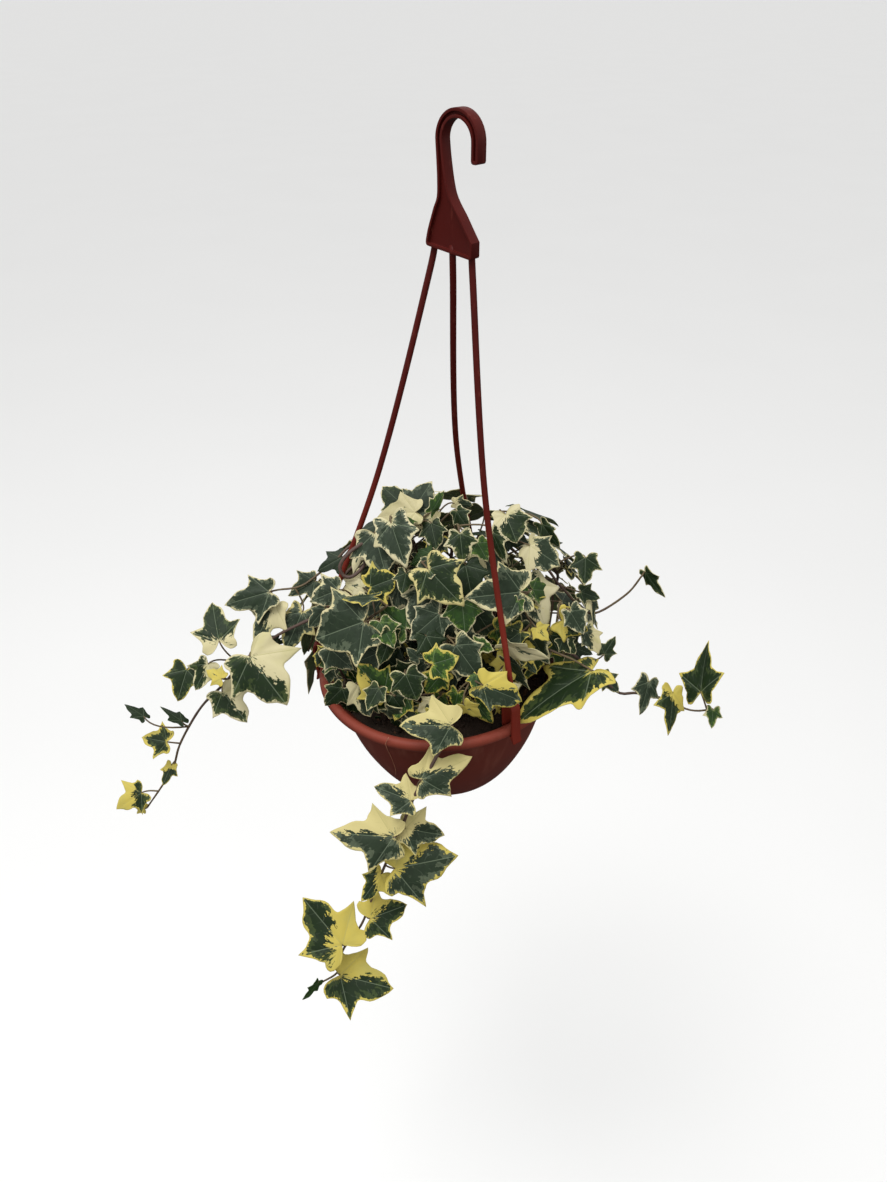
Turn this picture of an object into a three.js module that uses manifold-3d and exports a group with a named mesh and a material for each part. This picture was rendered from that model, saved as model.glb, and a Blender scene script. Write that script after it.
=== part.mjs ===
// Variegated ivy in a hanging plastic bowl.
//
// Millimetres, +Z up, +X to the right and +Y away as the pot is seen from its front.
// Everything is modelled about the centre of the pot's rim, and the outer group then moves
// the origin to the point inside the hook where the pot hangs.

import * as THREE from 'three';
import { mergeVertices } from 'three/addons/utils/BufferGeometryUtils.js';
import Module from 'manifold-3d';

const wasm = await Module();
wasm.setup();

// Bowl
const RIM_R = 110;
const RIM_TALL = 9;
const WALL = 2.3;
const BOWL_DEEP = 122;
const FOOT_R = 50;
const POT_TILT = THREE.MathUtils.degToRad(-3.3);
const POT_SIDES = 32;
const DRAIN_R = 4;
const DRAIN_CIRCLE_R = 28;

// Soil
const SOIL_TOP = -14;
const SOIL_GAP = 0.6;
const HOLE_R = 4;
const HOLE_DEEP = 11;

// Hanger: the hook's bearing point, from the rim's centre, and the head's own sizes
const BEARING = new THREE.Vector3(12.9, 0, 433.3);
const HOOK_TURN = THREE.MathUtils.degToRad(-45);
const HOOK_IN = 13;
const HOOK_OUT = 18.8;
const HOOK_TAIL = 12;
const HEAD_DEEP = 8;
const HEAD_FLANGE = 2.3;
const HEAD_WEB = 3.6;
const PLATE_LEFT = -28.5;
const PLATE_RIGHT = 14.8;
const PLATE_LOW = -67.5;
const PLATE_SLANT = 2.7;
const STRAP_WIDE = 5.2;
const STRAP_THICK = 4.2;
const CLIP_WIDE = 9;
const CLIP_THICK = 3;
const CLIP_GAP = 0.4;
const CLIP_RISE = 26;

// Straps: where each leaves the head, the rim angle of its clip, and its sideways bow
const STRAPS = [
  { from: -26, angle: 180, bow: [6, -3, -6] },
  { from: -6.5, angle: 71, bow: [-8, -5, 0] },
  { from: 12, angle: 303, bow: [-6, 4, 0] },
];

// Ivy
const BLADE_THICK = 0.8;
const PETIOLE_WIDE = 1.5;
const STEM_R = 1.6;
const TRAIL_R = 1.4;
const STEM_STEP = 20;
const CLEAR = 0.4;

// The eye that the plant is drawn from, its downward pitch, and the dome that the crown fills
const EYE = new THREE.Vector3(2.2, -623.3, 505.7);
const PITCH = THREE.MathUtils.degToRad(34.7);
const DOME_CENTRE = new THREE.Vector3(8, 20, 0);
const DOME_R = new THREE.Vector3(150, 112, 150);

// How far a leaf may slide to come clear of another stem, in the order tried, and the share
// of it that a leaf set out by rule slides
const SLIDES = [0, 5, -5, 10, -10, 15, -15, 20, -20, 25, -25, 30, -30];
const RULED_SLIDE = -1;
const RULED_OUTMOST = -5;

// Leafy stems as drawn from the front. A leaf is
// [joint across, joint up, tip across, tip up, place, apparent width],
// in mm on the plane through the rim's centre that faces the eye. On a crown stem, place is
// the share of the dome that the leaf lies on. On a stem with a route it is the leaf's y, and
// each route point is [across, up, y]. root is where the stem leaves the soil.
const STEMS = {
  ivy_back_left: {
    root: [-25, 34],
    leaves: [
      [-23, 132, -58, 130, 0.98, 0.8],
      [-35, 139, -53, 156, 1.0, 1],
      [-24, 136, -9, 160, 1.0, 1],
    ],
  },
  ivy_back_middle: {
    root: [0, 40],
    leaves: [
      [-4, 125, -29, 122, 0.97, 0.8],
      [-9, 122, -4, 98, 1.03, 0.9],
      [12, 140, 29, 138, 0.98, 0.6],
      [14, 133, 24, 116, 0.95, 0.7],
      [-9, 132, 4, 151, 1.0, 0.4],
    ],
  },
  ivy_back_right: {
    root: [20, 36],
    leaves: [
      [46, 114, 57, 85, 0.98, 0.4],
      [22, 84, 28, 54, 0.9, 1],
      [17, 113, 20, 88, 1.0, 1.1],
    ],
  },
  ivy_upper_left: {
    root: [-42, 20],
    leaves: [
      [-50, 105, -34, 84, 0.93, 0.8],
      [-72, 100, -80, 77, 0.93, 0.6],
      [-60, 113, -50, 77, 1.0, 1.2],
      [-45, 122, -33, 85, 1.06, 0.8],
    ],
  },
  ivy_upper_right: {
    root: [44, 34],
    leaves: [
      [80, 102, 107, 84, 1.0, 1.1],
      [91, 121, 106, 100, 1.05, 0.4],
      [58, 130, 68, 105, 1.03, 1.2],
    ],
  },
  ivy_twig_right: {
    root: [82, 26],
    route: [
      [88, 82, 20], [107, 66, 10], [124, 48, 5], [139, 41, 0], [167, 58, 0], [182, 76, 0],
    ],
    leaves: [
      [130, 91, 129, 67, 8, 1],
      [126, 60, 143, 54, 3, 0.8],
      [135, 54, 138, 30, 0, 0.4],
      [184, 78, 198, 56, 0, 0.35],
    ],
  },
  ivy_branch_left: {
    root: [-62, 12],
    route: [[-72, 98, 20], [-100, 84, 10], [-125, 66, 0], [-147, 62, -4], [-155, 60, -5]],
    leaves: [
      [-90, 91, -111, 79, 8, 0.8],
      [-114, 70, -137, 58, 4, 0.9],
      [-125, 42, -140, 8, -16, 0.9],
      [-150, 49, -168, 15, -12, 0.8],
      [-147, 17, -160, 10, -8, 0.8],
      [-155, 60, -195, 49, -6, 0.8],
    ],
  },
  ivy_trail_left: {
    root: [-72, -8],
    route: [
      [-100, 34, -20], [-136, 27, -25], [-172, 3, -32], [-197, -24, -38], [-214, -41, -42],
      [-226, -59, -46], [-236, -79, -50], [-241, -97, -53], [-251, -114, -56],
      [-264, -133, -59],
    ],
    leaves: [
      [-200, 16, -210, 51, -38, 0.85],
      [-172, 2, -141, -39, -48, 1.05],
      [-197, -30, -176, -56, -50, 1],
      [-210, -5, -222, -28, -42, 0.9],
      [-198, -18, -212, -11, -52, 1],
      [-229, -10, -236, -36, -40, 1],
      [-234, -56, -252, -44, -48, 0.4],
      [-268, -52, -284, -41, -50, 0.5],
      [-247, -75, -268, -71, -54, 1.2],
      [-243, -96, -249, -112, -54, 0.8],
      [-270, -121, -290, -134, -60, 1.1],
      [-267, -135, -278, -131, -60, 0.8],
    ],
  },
  ivy_rim_left: {
    root: [-72, -22],
    leaves: [
      [-105, 45, -120, 28, 0.9, 0.9],
      [-71, 64, -87, 68, 0.92, 0.8],
      [-92, 62, -118, 52, 1.0, 1.1],
      [-60, 56, -88, 54, 1.04, 0.4],
    ],
  },
  ivy_centre_left: {
    root: [-22, 8],
    leaves: [
      [-10, 95, -27, 85, 0.92, 0.8],
      [-64, 64, -40, 73, 1.03, 1.2],
      [-37, 68, -8, 42, 0.98, 1],
    ],
  },
  ivy_large_left: {
    root: [-55, -18],
    leaves: [
      [-45, 23, -54, -7, 0.97, 0.6],
      [-57, 5, -79, -5, 0.9, 0.9],
      [-70, 33, -115, 17, 1.06, 1.15],
    ],
  },
  ivy_centre: {
    root: [-20, -18],
    leaves: [
      [-20, 0, -31, 9, 0.92, 0.9],
      [-2, 40, -27, 18, 0.94, 1],
      [-32, 27, -57, 47, 1.04, 1],
    ],
  },
  ivy_centre_right: {
    root: [4, -5],
    leaves: [
      [12, 27, -14, 23, 0.95, 0.9],
      [19, 50, 22, 23, 0.93, 1.1],
      [-12, 81, 18, 49, 1.04, 1],
    ],
  },
  ivy_front_right: {
    root: [8, -38],
    leaves: [
      [0, -14, -14, -33, 0.95, 0.9],
      [-8, -5, 15, 2, 1.06, 1.3],
      [13, 12, 35, -18, 1.0, 1],
    ],
  },
  ivy_front_left: {
    root: [-48, -48],
    leaves: [
      [-75, -24, -63, -54, 0.94, 0.7],
      [-44, -33, -34, -49, 0.96, 1],
      [-51, -30, -77, -6, 1.04, 1.1],
    ],
  },
  ivy_front_middle: {
    root: [-22, -56],
    leaves: [
      [-32, -14, -22, -39, 0.97, 1.1],
      [-22, -49, -36, -58, 0.96, 0.9],
      [-6, -39, -21, -49, 0.98, 0.9],
    ],
  },
  ivy_rim_front_left: {
    root: [-78, -34],
    leaves: [
      [-108, 6, -112, -8, 0.95, 0.5],
      [-100, 9, -81, -9, 0.93, 1],
    ],
  },
  ivy_right_inner: {
    root: [34, 4],
    leaves: [
      [31, 15, 48, 8, 0.95, 0.7],
      [72, 60, 25, 55, 1.07, 0.95],
    ],
  },
  ivy_right_middle: {
    root: [62, 8],
    leaves: [
      [61, 32, 80, 23, 0.95, 0.8],
      [86, 28, 97, 16, 0.97, 0.9],
      [70, 43, 98, 25, 0.98, 0.5],
      [78, 68, 96, 28, 0.98, 0.85],
    ],
  },
  ivy_right_outer: {
    root: [84, 8],
    leaves: [
      [110, 18, 122, 4, 0.95, 0.9],
      [131, 25, 143, 5, 1.0, 0.8],
      [116, 43, 128, 23, 1.03, 1],
    ],
  },
  ivy_trail_right: {
    root: [80, -18],
    route: [
      [112, 5, -30], [132, -8, -36], [147, -20, -40], [161, -31, -41], [176, -31, -41],
      [197, -35, -41], [220, -45, -41], [231, -47, -41], [241, -46, -41],
    ],
    leaves: [
      [147, 4, 157, 19, -25, 0.9],
      [147, -17, 160, -30, -36, 0.9],
      [187, -21, 180, -48, -42, 0.75],
      [209, -31, 206, -64, -42, 0.6],
      [234, -30, 240, 12, -42, 0.45],
      [245, -46, 243, -61, -42, 0.8],
    ],
  },
  ivy_large_right: {
    root: [62, -30],
    route: [[85, 8, -44], [112, 2, -54], [128, -6, -56]],
    leaves: [
      [122, 9, 136, 4, -30, 0.8],
      [135, -11, 65, -46, -58, 0.5],
    ],
  },
  ivy_front_inner: {
    root: [52, -28],
    leaves: [
      [58, 13, 95, -4, 0.97, 0.4],
      [74, 1, 86, -14, 0.93, 0.6],
      [60, -2, 77, -29, 0.95, 0.4],
      [82, 20, 96, -7, 0.98, 0.6],
    ],
  },
  ivy_front_young: {
    root: [36, -54],
    leaves: [[38, -24, 74, -40, 1.12, 0.8]],
  },
  ivy_trail_front: {
    root: [16, -64],
    route: [
      [9, -50, -104], [4, -72, -118], [-4, -88, -124], [-16, -110, -130], [-27, -130, -134],
      [-38, -160, -140], [-50, -185, -146], [-62, -215, -150], [-72, -240, -154],
      [-88, -262, -158], [-93, -282, -160], [-108, -292, -162],
    ],
    leaves: [
      [9, -60, -36, -61, -120, 1],
      [-17, -109, 26, -90, -134, 0.85],
      [-27, -128, -59, -116, -140, 1],
      [-32, -153, 2, -161, -138, 0.9],
      [-43, -161, -96, -159, -148, 0.9],
      [-42, -189, 11, -180, -156, 1],
      [-54, -194, -70, -216, -150, 0.9],
      [-64, -234, -33, -225, -160, 1.2],
      [-89, -258, -123, -223, -166, 1.1],
      [-91, -285, -48, -294, -168, 0.95],
      [-111, -292, -121, -306, -165, 0.4],
    ],
  },
};

// Stems at the back, which the front view hides, are set out by rule around the dome
const BACK_STEMS = 8;
const BACK_LEAVES = 5;
const BACK_FROM = 30;
const BACK_TO = 165;
const BACK_HIGH = 62;
const BACK_STEP = 19;
const BACK_SHARES = [0.86, 0.98];
const BACK_LENGTHS = [29, 44];

// Shorter stems that fill the front of the dome from inside: root and the azimuth they lean to
const INNER_STEMS = [
  { root: [-39, -4], azimuth: 204 },
  { root: [-36, -33], azimuth: 228 },
  { root: [-5, -38], azimuth: 250 },
  { root: [22, -22], azimuth: 282 },
  { root: [42, -10], azimuth: 315 },
  { root: [20, 14], azimuth: 350 },
];
const INNER_LEAVES = 4;
const INNER_HIGH = 66;
const INNER_STEP = 17;
const INNER_SHARES = [0.76, 0.92];
const INNER_LENGTHS = [25, 35];

// Leaf outline as shares of its length: [across, along, out of plane], from the petiole joint
const HALF_OUTLINE = [
  [0.36, -0.2, -0.05],
  [0.58, 0.34, -0.04],
  [0.3, 0.52, 0.03],
];
const TIP_DROOP = -0.1;

// Seeded draws, the same on every run
let seed = 20817;
function draw(low, high) {
  seed = (seed * 16807) % 2147483647;
  return low + (high - low) * (seed / 2147483647);
}

// Solids

function solidOf(geometry) {
  const bare = geometry.clone();
  bare.deleteAttribute('normal');
  bare.deleteAttribute('uv');
  const merged = mergeVertices(bare, 1e-4);
  return new wasm.Manifold(new wasm.Mesh({
    numProp: 3,
    vertProperties: new Float32Array(merged.attributes.position.array),
    triVerts: new Uint32Array(merged.index.array),
  }));
}

function geometryOf(solid) {
  const mesh = solid.getMesh();
  const geometry = new THREE.BufferGeometry();
  geometry.setAttribute('position', new THREE.BufferAttribute(mesh.vertProperties, 3));
  geometry.setIndex(new THREE.BufferAttribute(mesh.triVerts, 1));
  return geometry;
}

function joined(solids) {
  return wasm.Manifold.union(solids);
}

function ovalShape(wide, thick, sides) {
  const shape = new THREE.Shape();
  for (let i = 0; i < sides; i += 1) {
    const turn = ((i + 0.5) / sides) * 2 * Math.PI;
    const x = (wide / 2) * Math.cos(turn);
    const y = (thick / 2) * Math.sin(turn);
    if (i === 0) {
      shape.moveTo(x, y);
    } else {
      shape.lineTo(x, y);
    }
  }
  shape.closePath();
  return shape;
}

function tube(curve, wide, thick, sides, steps) {
  return new THREE.ExtrudeGeometry(ovalShape(wide, thick, sides), {
    steps,
    curveSegments: 1,
    bevelEnabled: false,
    extrudePath: curve,
  });
}

// Bowl

function bowlOuter() {
  return [
    [FOOT_R, -BOWL_DEEP],
    [FOOT_R + 10, -BOWL_DEEP + 10],
    [71.5, -94],
    [84, -66],
    [93, -34],
    [98.8, -RIM_TALL + 0.8],
  ];
}

function bowlInnerRadius(z) {
  const wall = bowlOuter();
  for (let i = 1; i < wall.length; i += 1) {
    const [r0, z0] = wall[i - 1];
    const [r1, z1] = wall[i];
    if (z <= z1) {
      return r0 + ((r1 - r0) * (z - z0)) / (z1 - z0) - WALL;
    }
  }
  return wall[wall.length - 1][0] - WALL;
}

function tilted(geometry) {
  return geometry.applyMatrix4(new THREE.Matrix4().makeRotationY(POT_TILT));
}

function bowlSolid() {
  const floorTop = -BOWL_DEEP + WALL + 0.2;
  const rim = [
    [RIM_R - 1, -RIM_TALL],
    [RIM_R + 0.3, -4.4],
    [RIM_R - 1.6, -1],
    [RIM_R - 4.6, 0],
    [RIM_R - 7.6, -1.6],
    [RIM_R - 9, -5.4],
  ];
  const innerHeights = [-RIM_TALL - 1, -66, -94, -112];
  const inner = innerHeights.map((z) => [bowlInnerRadius(z), z]);
  const profile = [[0, -BOWL_DEEP], ...bowlOuter(), ...rim, ...inner,
    [FOOT_R - 1.5, floorTop], [0, floorTop]];
  const points = profile.map(([r, z]) => new THREE.Vector2(r, z));
  const lathe = new THREE.LatheGeometry(points, POT_SIDES).rotateX(Math.PI / 2);
  let bowl = solidOf(tilted(lathe));
  for (let i = 0; i < 4; i += 1) {
    const turn = (i + 0.5) * (Math.PI / 2);
    const drill = new THREE.CylinderGeometry(DRAIN_R, DRAIN_R, 12, 8).rotateX(Math.PI / 2);
    drill.translate(DRAIN_CIRCLE_R * Math.cos(turn), DRAIN_CIRCLE_R * Math.sin(turn), -BOWL_DEEP);
    bowl = bowl.subtract(solidOf(tilted(drill)));
  }
  return bowl;
}

// Soil

function mound(x, y, centreX, centreY, height, reach) {
  const away = ((x - centreX) ** 2 + (y - centreY) ** 2) / reach ** 2;
  return height * Math.exp(-away);
}

function soilTop(x, y) {
  const lumps = 1.1 * Math.sin(x * 0.21 + 1) * Math.cos(y * 0.17) + 0.7 * Math.sin(y * 0.37 + x * 0.3);
  const inward = THREE.MathUtils.clamp((93 - Math.hypot(x, y)) / 18, 0, 1);
  const heaps = mound(x, y, 30, -62, 9, 30) + mound(x, y, -10, 15, 6, 50);
  return SOIL_TOP + inward * (heaps + lumps);
}

function soilSolid() {
  const top = [0, 24, 50, 76].map((r) => [r, SOIL_TOP]);
  const walls = [SOIL_TOP, -66, -112].map((z) => [bowlInnerRadius(z) - SOIL_GAP, z]);
  const floor = -BOWL_DEEP + WALL + 0.2 + SOIL_GAP;
  const profile = [[0, floor], [FOOT_R - 3, floor], ...walls.reverse(), ...top.reverse()];
  const points = profile.map(([r, z]) => new THREE.Vector2(r, z));
  const lathe = new THREE.LatheGeometry(points, POT_SIDES).rotateX(Math.PI / 2);
  const position = lathe.attributes.position;
  for (let i = 0; i < position.count; i += 1) {
    if (position.getZ(i) === SOIL_TOP) {
      position.setZ(i, soilTop(position.getX(i), position.getY(i)));
    }
  }
  return solidOf(tilted(lathe));
}

function soilHeightAt(x, y) {
  return soilTop(x, y) - x * Math.sin(POT_TILT);
}

// Hanger

function headShape(inset) {
  const inner = HOOK_IN + inset;
  const outer = HOOK_OUT - inset;
  const low = PLATE_LOW + inset;
  const shape = new THREE.Shape();
  shape.moveTo(inner, -HOOK_TAIL + inset);
  shape.lineTo(inner, 0);
  shape.absarc(0, 0, inner, 0, Math.PI, false);
  shape.lineTo(-11.7 - inset, -10);
  shape.lineTo(-9 - inset, -23.6);
  shape.lineTo(-6.1 - inset, -32.6);
  shape.lineTo(3.1 - inset, -44.4);
  shape.lineTo(PLATE_RIGHT - inset, -59.5);
  shape.lineTo(PLATE_RIGHT - inset, low - PLATE_SLANT);
  shape.lineTo(PLATE_LEFT + inset, low);
  shape.lineTo(PLATE_LEFT + inset, -64);
  shape.lineTo(-24 + inset, -50);
  shape.lineTo(-17.6 + inset, -35);
  shape.lineTo(-17.8 + inset, -13);
  shape.absarc(0, 0, outer, Math.PI, 0, true);
  shape.lineTo(outer, -HOOK_TAIL + inset);
  shape.closePath();
  return shape;
}

function headExtrude(inset, from, to) {
  const geometry = new THREE.ExtrudeGeometry(headShape(inset), {
    depth: to - from,
    curveSegments: 6,
    bevelEnabled: false,
  });
  geometry.translate(0, 0, from);
  geometry.rotateX(Math.PI / 2);
  geometry.rotateZ(HOOK_TURN);
  geometry.translate(BEARING.x, BEARING.y, BEARING.z - HOOK_IN);
  return solidOf(geometry);
}

function headSolid() {
  const half = HEAD_DEEP / 2;
  const web = HEAD_WEB / 2;
  const body = headExtrude(0, -half, half);
  const front = headExtrude(HEAD_FLANGE, web, half + 1);
  const back = headExtrude(HEAD_FLANGE, -half - 1, -web);
  return body.subtract(front).subtract(back);
}

// A clip is an upside-down U over the rim, with a barb under the rim's outer edge
function clipSolid(angle) {
  const innerFace = RIM_R - 9 - CLIP_GAP;
  const outerFace = RIM_R + 0.3 + CLIP_GAP;
  const middle = (innerFace + outerFace) / 2;
  const archIn = (outerFace - innerFace) / 2;
  const archOut = archIn + CLIP_THICK;
  const archZ = CLIP_RISE - archOut;
  const barbZ = -RIM_TALL - CLIP_GAP;
  const shape = new THREE.Shape();
  shape.moveTo(innerFace, -4.5);
  shape.lineTo(innerFace, archZ);
  shape.absarc(middle, archZ, archIn, Math.PI, 0, true);
  shape.lineTo(outerFace, barbZ);
  shape.lineTo(outerFace - 2.6, barbZ);
  shape.lineTo(outerFace, barbZ - 3.6);
  shape.lineTo(outerFace, barbZ - 4.6);
  shape.lineTo(outerFace + CLIP_THICK, barbZ - 4.6);
  shape.lineTo(outerFace + CLIP_THICK, archZ);
  shape.absarc(middle, archZ, archOut, 0, Math.PI, false);
  shape.lineTo(innerFace - CLIP_THICK, -4.5);
  shape.closePath();
  const geometry = new THREE.ExtrudeGeometry(shape, {
    depth: CLIP_WIDE,
    curveSegments: 3,
    bevelEnabled: false,
  });
  geometry.translate(0, 0, -CLIP_WIDE / 2);
  geometry.rotateX(Math.PI / 2);
  geometry.rotateZ(THREE.MathUtils.degToRad(angle));
  return solidOf(tilted(geometry));
}

function strapCurve({ from, angle, bow }) {
  const turn = THREE.MathUtils.degToRad(angle);
  const top = new THREE.Vector3(from, 0, PLATE_LOW - HOOK_IN + 3);
  top.applyAxisAngle(new THREE.Vector3(0, 0, 1), HOOK_TURN).add(BEARING);
  const foot = new THREE.Vector3(
    (RIM_R - 4.4) * Math.cos(turn),
    (RIM_R - 4.4) * Math.sin(turn),
    CLIP_RISE - 2,
  );
  foot.applyAxisAngle(new THREE.Vector3(0, 1, 0), POT_TILT);
  const under = top.clone().add(new THREE.Vector3(0, 0, -14)).lerp(foot, 0.02);
  const middle = top.clone().lerp(foot, 0.5).add(new THREE.Vector3(...bow));
  const above = foot.clone().add(new THREE.Vector3(0, 0, 10)).lerp(top, 0.02);
  return new THREE.CatmullRomCurve3([top, under, middle, above, foot], false, 'catmullrom', 0.5);
}

function strapSolid(strap) {
  return solidOf(tube(strapCurve(strap), STRAP_WIDE, STRAP_THICK, 6, 8));
}

function hangerSolid() {
  const straps = STRAPS.map(strapSolid);
  const clips = STRAPS.map(({ angle }) => clipSolid(angle));
  return joined([headSolid(), ...straps, ...clips]);
}

// Places of the leaves

const RIGHT = new THREE.Vector3(1, 0, 0);
const UP = new THREE.Vector3(0, Math.sin(PITCH), Math.cos(PITCH));
const TOWARD = new THREE.Vector3(0, -Math.cos(PITCH), Math.sin(PITCH));

function drawn(u, v) {
  return RIGHT.clone().multiplyScalar(u).addScaledVector(UP, v);
}

function atDepth(u, v, y) {
  const ray = drawn(u, v).sub(EYE);
  return EYE.clone().addScaledVector(ray, (y - EYE.y) / ray.y);
}

function onDome(u, v, share) {
  const ray = drawn(u, v).sub(EYE).normalize();
  const start = EYE.clone().sub(DOME_CENTRE).divide(DOME_R);
  const step = ray.clone().divide(DOME_R);
  const nearest = -start.dot(step) / step.lengthSq();
  const miss = start.clone().addScaledVector(step, nearest).lengthSq();
  const back = Math.sqrt(Math.max(0, share ** 2 - miss) / step.lengthSq());
  return EYE.clone().addScaledVector(ray, nearest - back);
}

function domePoint(direction, share) {
  return direction.clone().setLength(share).multiply(DOME_R).add(DOME_CENTRE);
}

function domeNormal(point) {
  return point.clone().sub(DOME_CENTRE).divide(DOME_R).divide(DOME_R).normalize();
}

function leafVariation() {
  return {
    nod: draw(-0.16, 0.16),
    turn: draw(-0.16, 0.16),
    left: draw(0.88, 1.12),
    right: draw(0.88, 1.12),
    droop: draw(0.4, 1.7),
    side: draw(-1, 1),
  };
}

// A leaf's frame: joint, axis to the tip, side and normal, length, width and sliding way
function leafFrame(joint, axisRough, normalRough, length, apparent, slide, vary) {
  const axis = axisRough.clone().normalize();
  const side = new THREE.Vector3().crossVectors(axis, normalRough).normalize();
  const width = apparent < 0.8 ? Math.sqrt(apparent) : apparent;
  const roll = apparent < 0.8 ? Math.acos(Math.sqrt(apparent)) * Math.sign(vary.side) : 0;
  side.applyAxisAngle(axis, roll);
  const normal = new THREE.Vector3().crossVectors(side, axis);
  return { joint, axis, side, normal, length, width, slide, vary };
}

function drawnLeaf([u, v, tipU, tipV, place, apparent], onRoute) {
  const vary = leafVariation();
  const joint = onRoute ? atDepth(u, v, place) : onDome(u, v, place);
  const lean = onRoute ? new THREE.Vector3(0, -0.1, 0.35) : domeNormal(joint).multiplyScalar(0.6);
  const normal = TOWARD.clone().add(lean);
  normal.addScaledVector(UP, vary.nod).addScaledVector(RIGHT, vary.turn).normalize();
  const flat = drawn(tipU - u, tipV - v);
  flat.addScaledVector(TOWARD, -flat.dot(normal) / TOWARD.dot(normal));
  const nearer = joint.distanceTo(EYE) / EYE.length();
  const slide = EYE.clone().sub(joint).normalize();
  return leafFrame(joint, flat, normal, flat.length() * nearer, apparent, slide, vary);
}

function ruledLeaf(azimuth, height, shares, lengths) {
  const vary = leafVariation();
  const around = THREE.MathUtils.degToRad(azimuth + draw(-9, 9));
  const rise = THREE.MathUtils.degToRad(height + draw(-6, 6));
  const joint = domePoint(new THREE.Vector3(
    Math.cos(rise) * Math.cos(around),
    Math.cos(rise) * Math.sin(around),
    Math.sin(rise),
  ), draw(...shares));
  const normal = domeNormal(joint).add(new THREE.Vector3(vary.nod, vary.turn, 0.25)).normalize();
  const down = new THREE.Vector3(0, 0, -1).applyAxisAngle(normal, draw(-0.9, 0.9));
  const axis = down.addScaledVector(normal, -down.dot(normal));
  const slide = domeNormal(joint).multiplyScalar(RULED_SLIDE);
  const length = draw(...lengths);
  const leaf = leafFrame(joint, axis, normal, length, draw(0.8, 1.15), slide, vary);
  return { ...leaf, outmost: RULED_OUTMOST };
}

// Stem routes

function smooth(points) {
  return new THREE.CatmullRomCurve3(points, false, 'catmullrom', 0.5);
}

function rootPoints([x, y]) {
  const ground = soilHeightAt(x, y);
  return [
    new THREE.Vector3(x, y, ground - HOLE_DEEP + 0.6),
    new THREE.Vector3(x, y, ground + 5),
  ];
}

function crownCurve(root, leaves) {
  const start = rootPoints(root);
  const mean = new THREE.Vector3();
  leaves.forEach(({ joint }) => mean.addScaledVector(joint, 1 / leaves.length));
  const last = leaves[leaves.length - 1];
  const rise = start[1].clone().lerp(mean, 0.5).add(new THREE.Vector3(0, 0, 7));
  const end = last.joint.clone().addScaledVector(last.axis, -9).addScaledVector(last.normal, -9);
  return smooth([...start, rise, end]);
}

// Up inside the dome, over its shoulder and down outside the rim, under its own leaves
function backCurve(root, leaves) {
  const under = leaves.slice(1).map(({ joint }, k) => {
    const direction = joint.clone().sub(DOME_CENTRE).divide(DOME_R);
    return domePoint(direction, 0.74 + 0.07 * k);
  });
  return smooth([...rootPoints(root), ...under]);
}

function routeCurve(root, route) {
  return smooth([...rootPoints(root), ...route.map(([u, v, y]) => atDepth(u, v, y))]);
}

function leafyStem(name, root, leaves, curve, radius) {
  const rings = curve.getSpacedPoints(Math.round(curve.getLength() / STEM_STEP));
  return { name, root, leaves, curve, radius, rings };
}

function makeStems() {
  const stems = Object.entries(STEMS).map(([name, { root, route, leaves }]) => {
    const frames = leaves.map((leaf) => drawnLeaf(leaf, Boolean(route)));
    const curve = route ? routeCurve(root, route) : crownCurve(root, frames);
    return leafyStem(name, root, frames, curve, route ? TRAIL_R : STEM_R);
  });
  for (let i = 0; i < BACK_STEMS; i += 1) {
    const share = i / (BACK_STEMS - 1);
    const azimuth = BACK_FROM + (BACK_TO - BACK_FROM) * share;
    const turn = THREE.MathUtils.degToRad(azimuth);
    const far = i % 2 === 0 ? 66 : 80;
    const root = [far * Math.cos(turn), far * Math.sin(turn)];
    const frames = [];
    for (let k = 0; k < BACK_LEAVES; k += 1) {
      frames.push(ruledLeaf(azimuth, BACK_HIGH - BACK_STEP * k, BACK_SHARES, BACK_LENGTHS));
    }
    stems.push(leafyStem(`ivy_behind_${i + 1}`, root, frames, backCurve(root, frames), STEM_R));
  }
  INNER_STEMS.forEach(({ root, azimuth }, i) => {
    const frames = [];
    for (let k = 0; k < INNER_LEAVES; k += 1) {
      const height = INNER_HIGH - INNER_STEP * k;
      frames.unshift(ruledLeaf(azimuth, height, INNER_SHARES, INNER_LENGTHS));
    }
    stems.push(leafyStem(`ivy_inner_${i + 1}`, root, frames, crownCurve(root, frames), STEM_R));
  });
  return stems;
}

// Blade and petiole of one leaf, moved by its slide, with extra thickness for the clash test.
// The two share the four corners of the joint, where one runs into the other.

function bladeOutline({ length, width, vary }) {
  const halfWide = PETIOLE_WIDE / 2 / (length * width);
  const right = HALF_OUTLINE.map(([x, y, z]) => [x * vary.right, y, z * vary.droop]);
  const left = HALF_OUTLINE.map(([x, y, z]) => [-x * vary.left, y, z * vary.droop]).reverse();
  return [[halfWide, 0, 0], ...right, [0, 1, TIP_DROOP * vary.droop], ...left, [-halfWide, 0, 0]];
}

function bladePoint(leaf, moved, [x, y, z], lift) {
  const point = leaf.joint.clone().addScaledVector(leaf.slide, moved);
  point.addScaledVector(leaf.side, x * leaf.length * leaf.width);
  point.addScaledVector(leaf.axis, y * leaf.length);
  return point.addScaledVector(leaf.normal, z * leaf.length + lift);
}

// The petiole's foot lies inside the stem, at one of the points that the stem's tube runs
// through, the one nearest to the leaf's heel behind and under the joint
function footOn(rings, leaf, joint) {
  const heel = joint.clone().addScaledVector(leaf.axis, -7).addScaledVector(leaf.normal, -6);
  let best = 2;
  for (let k = 3; k < rings.length; k += 1) {
    if (rings[k].distanceTo(heel) < rings[best].distanceTo(heel)) {
      best = k;
    }
  }
  return rings[best].clone().lerp(rings[best - 1], 0.07);
}

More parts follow.
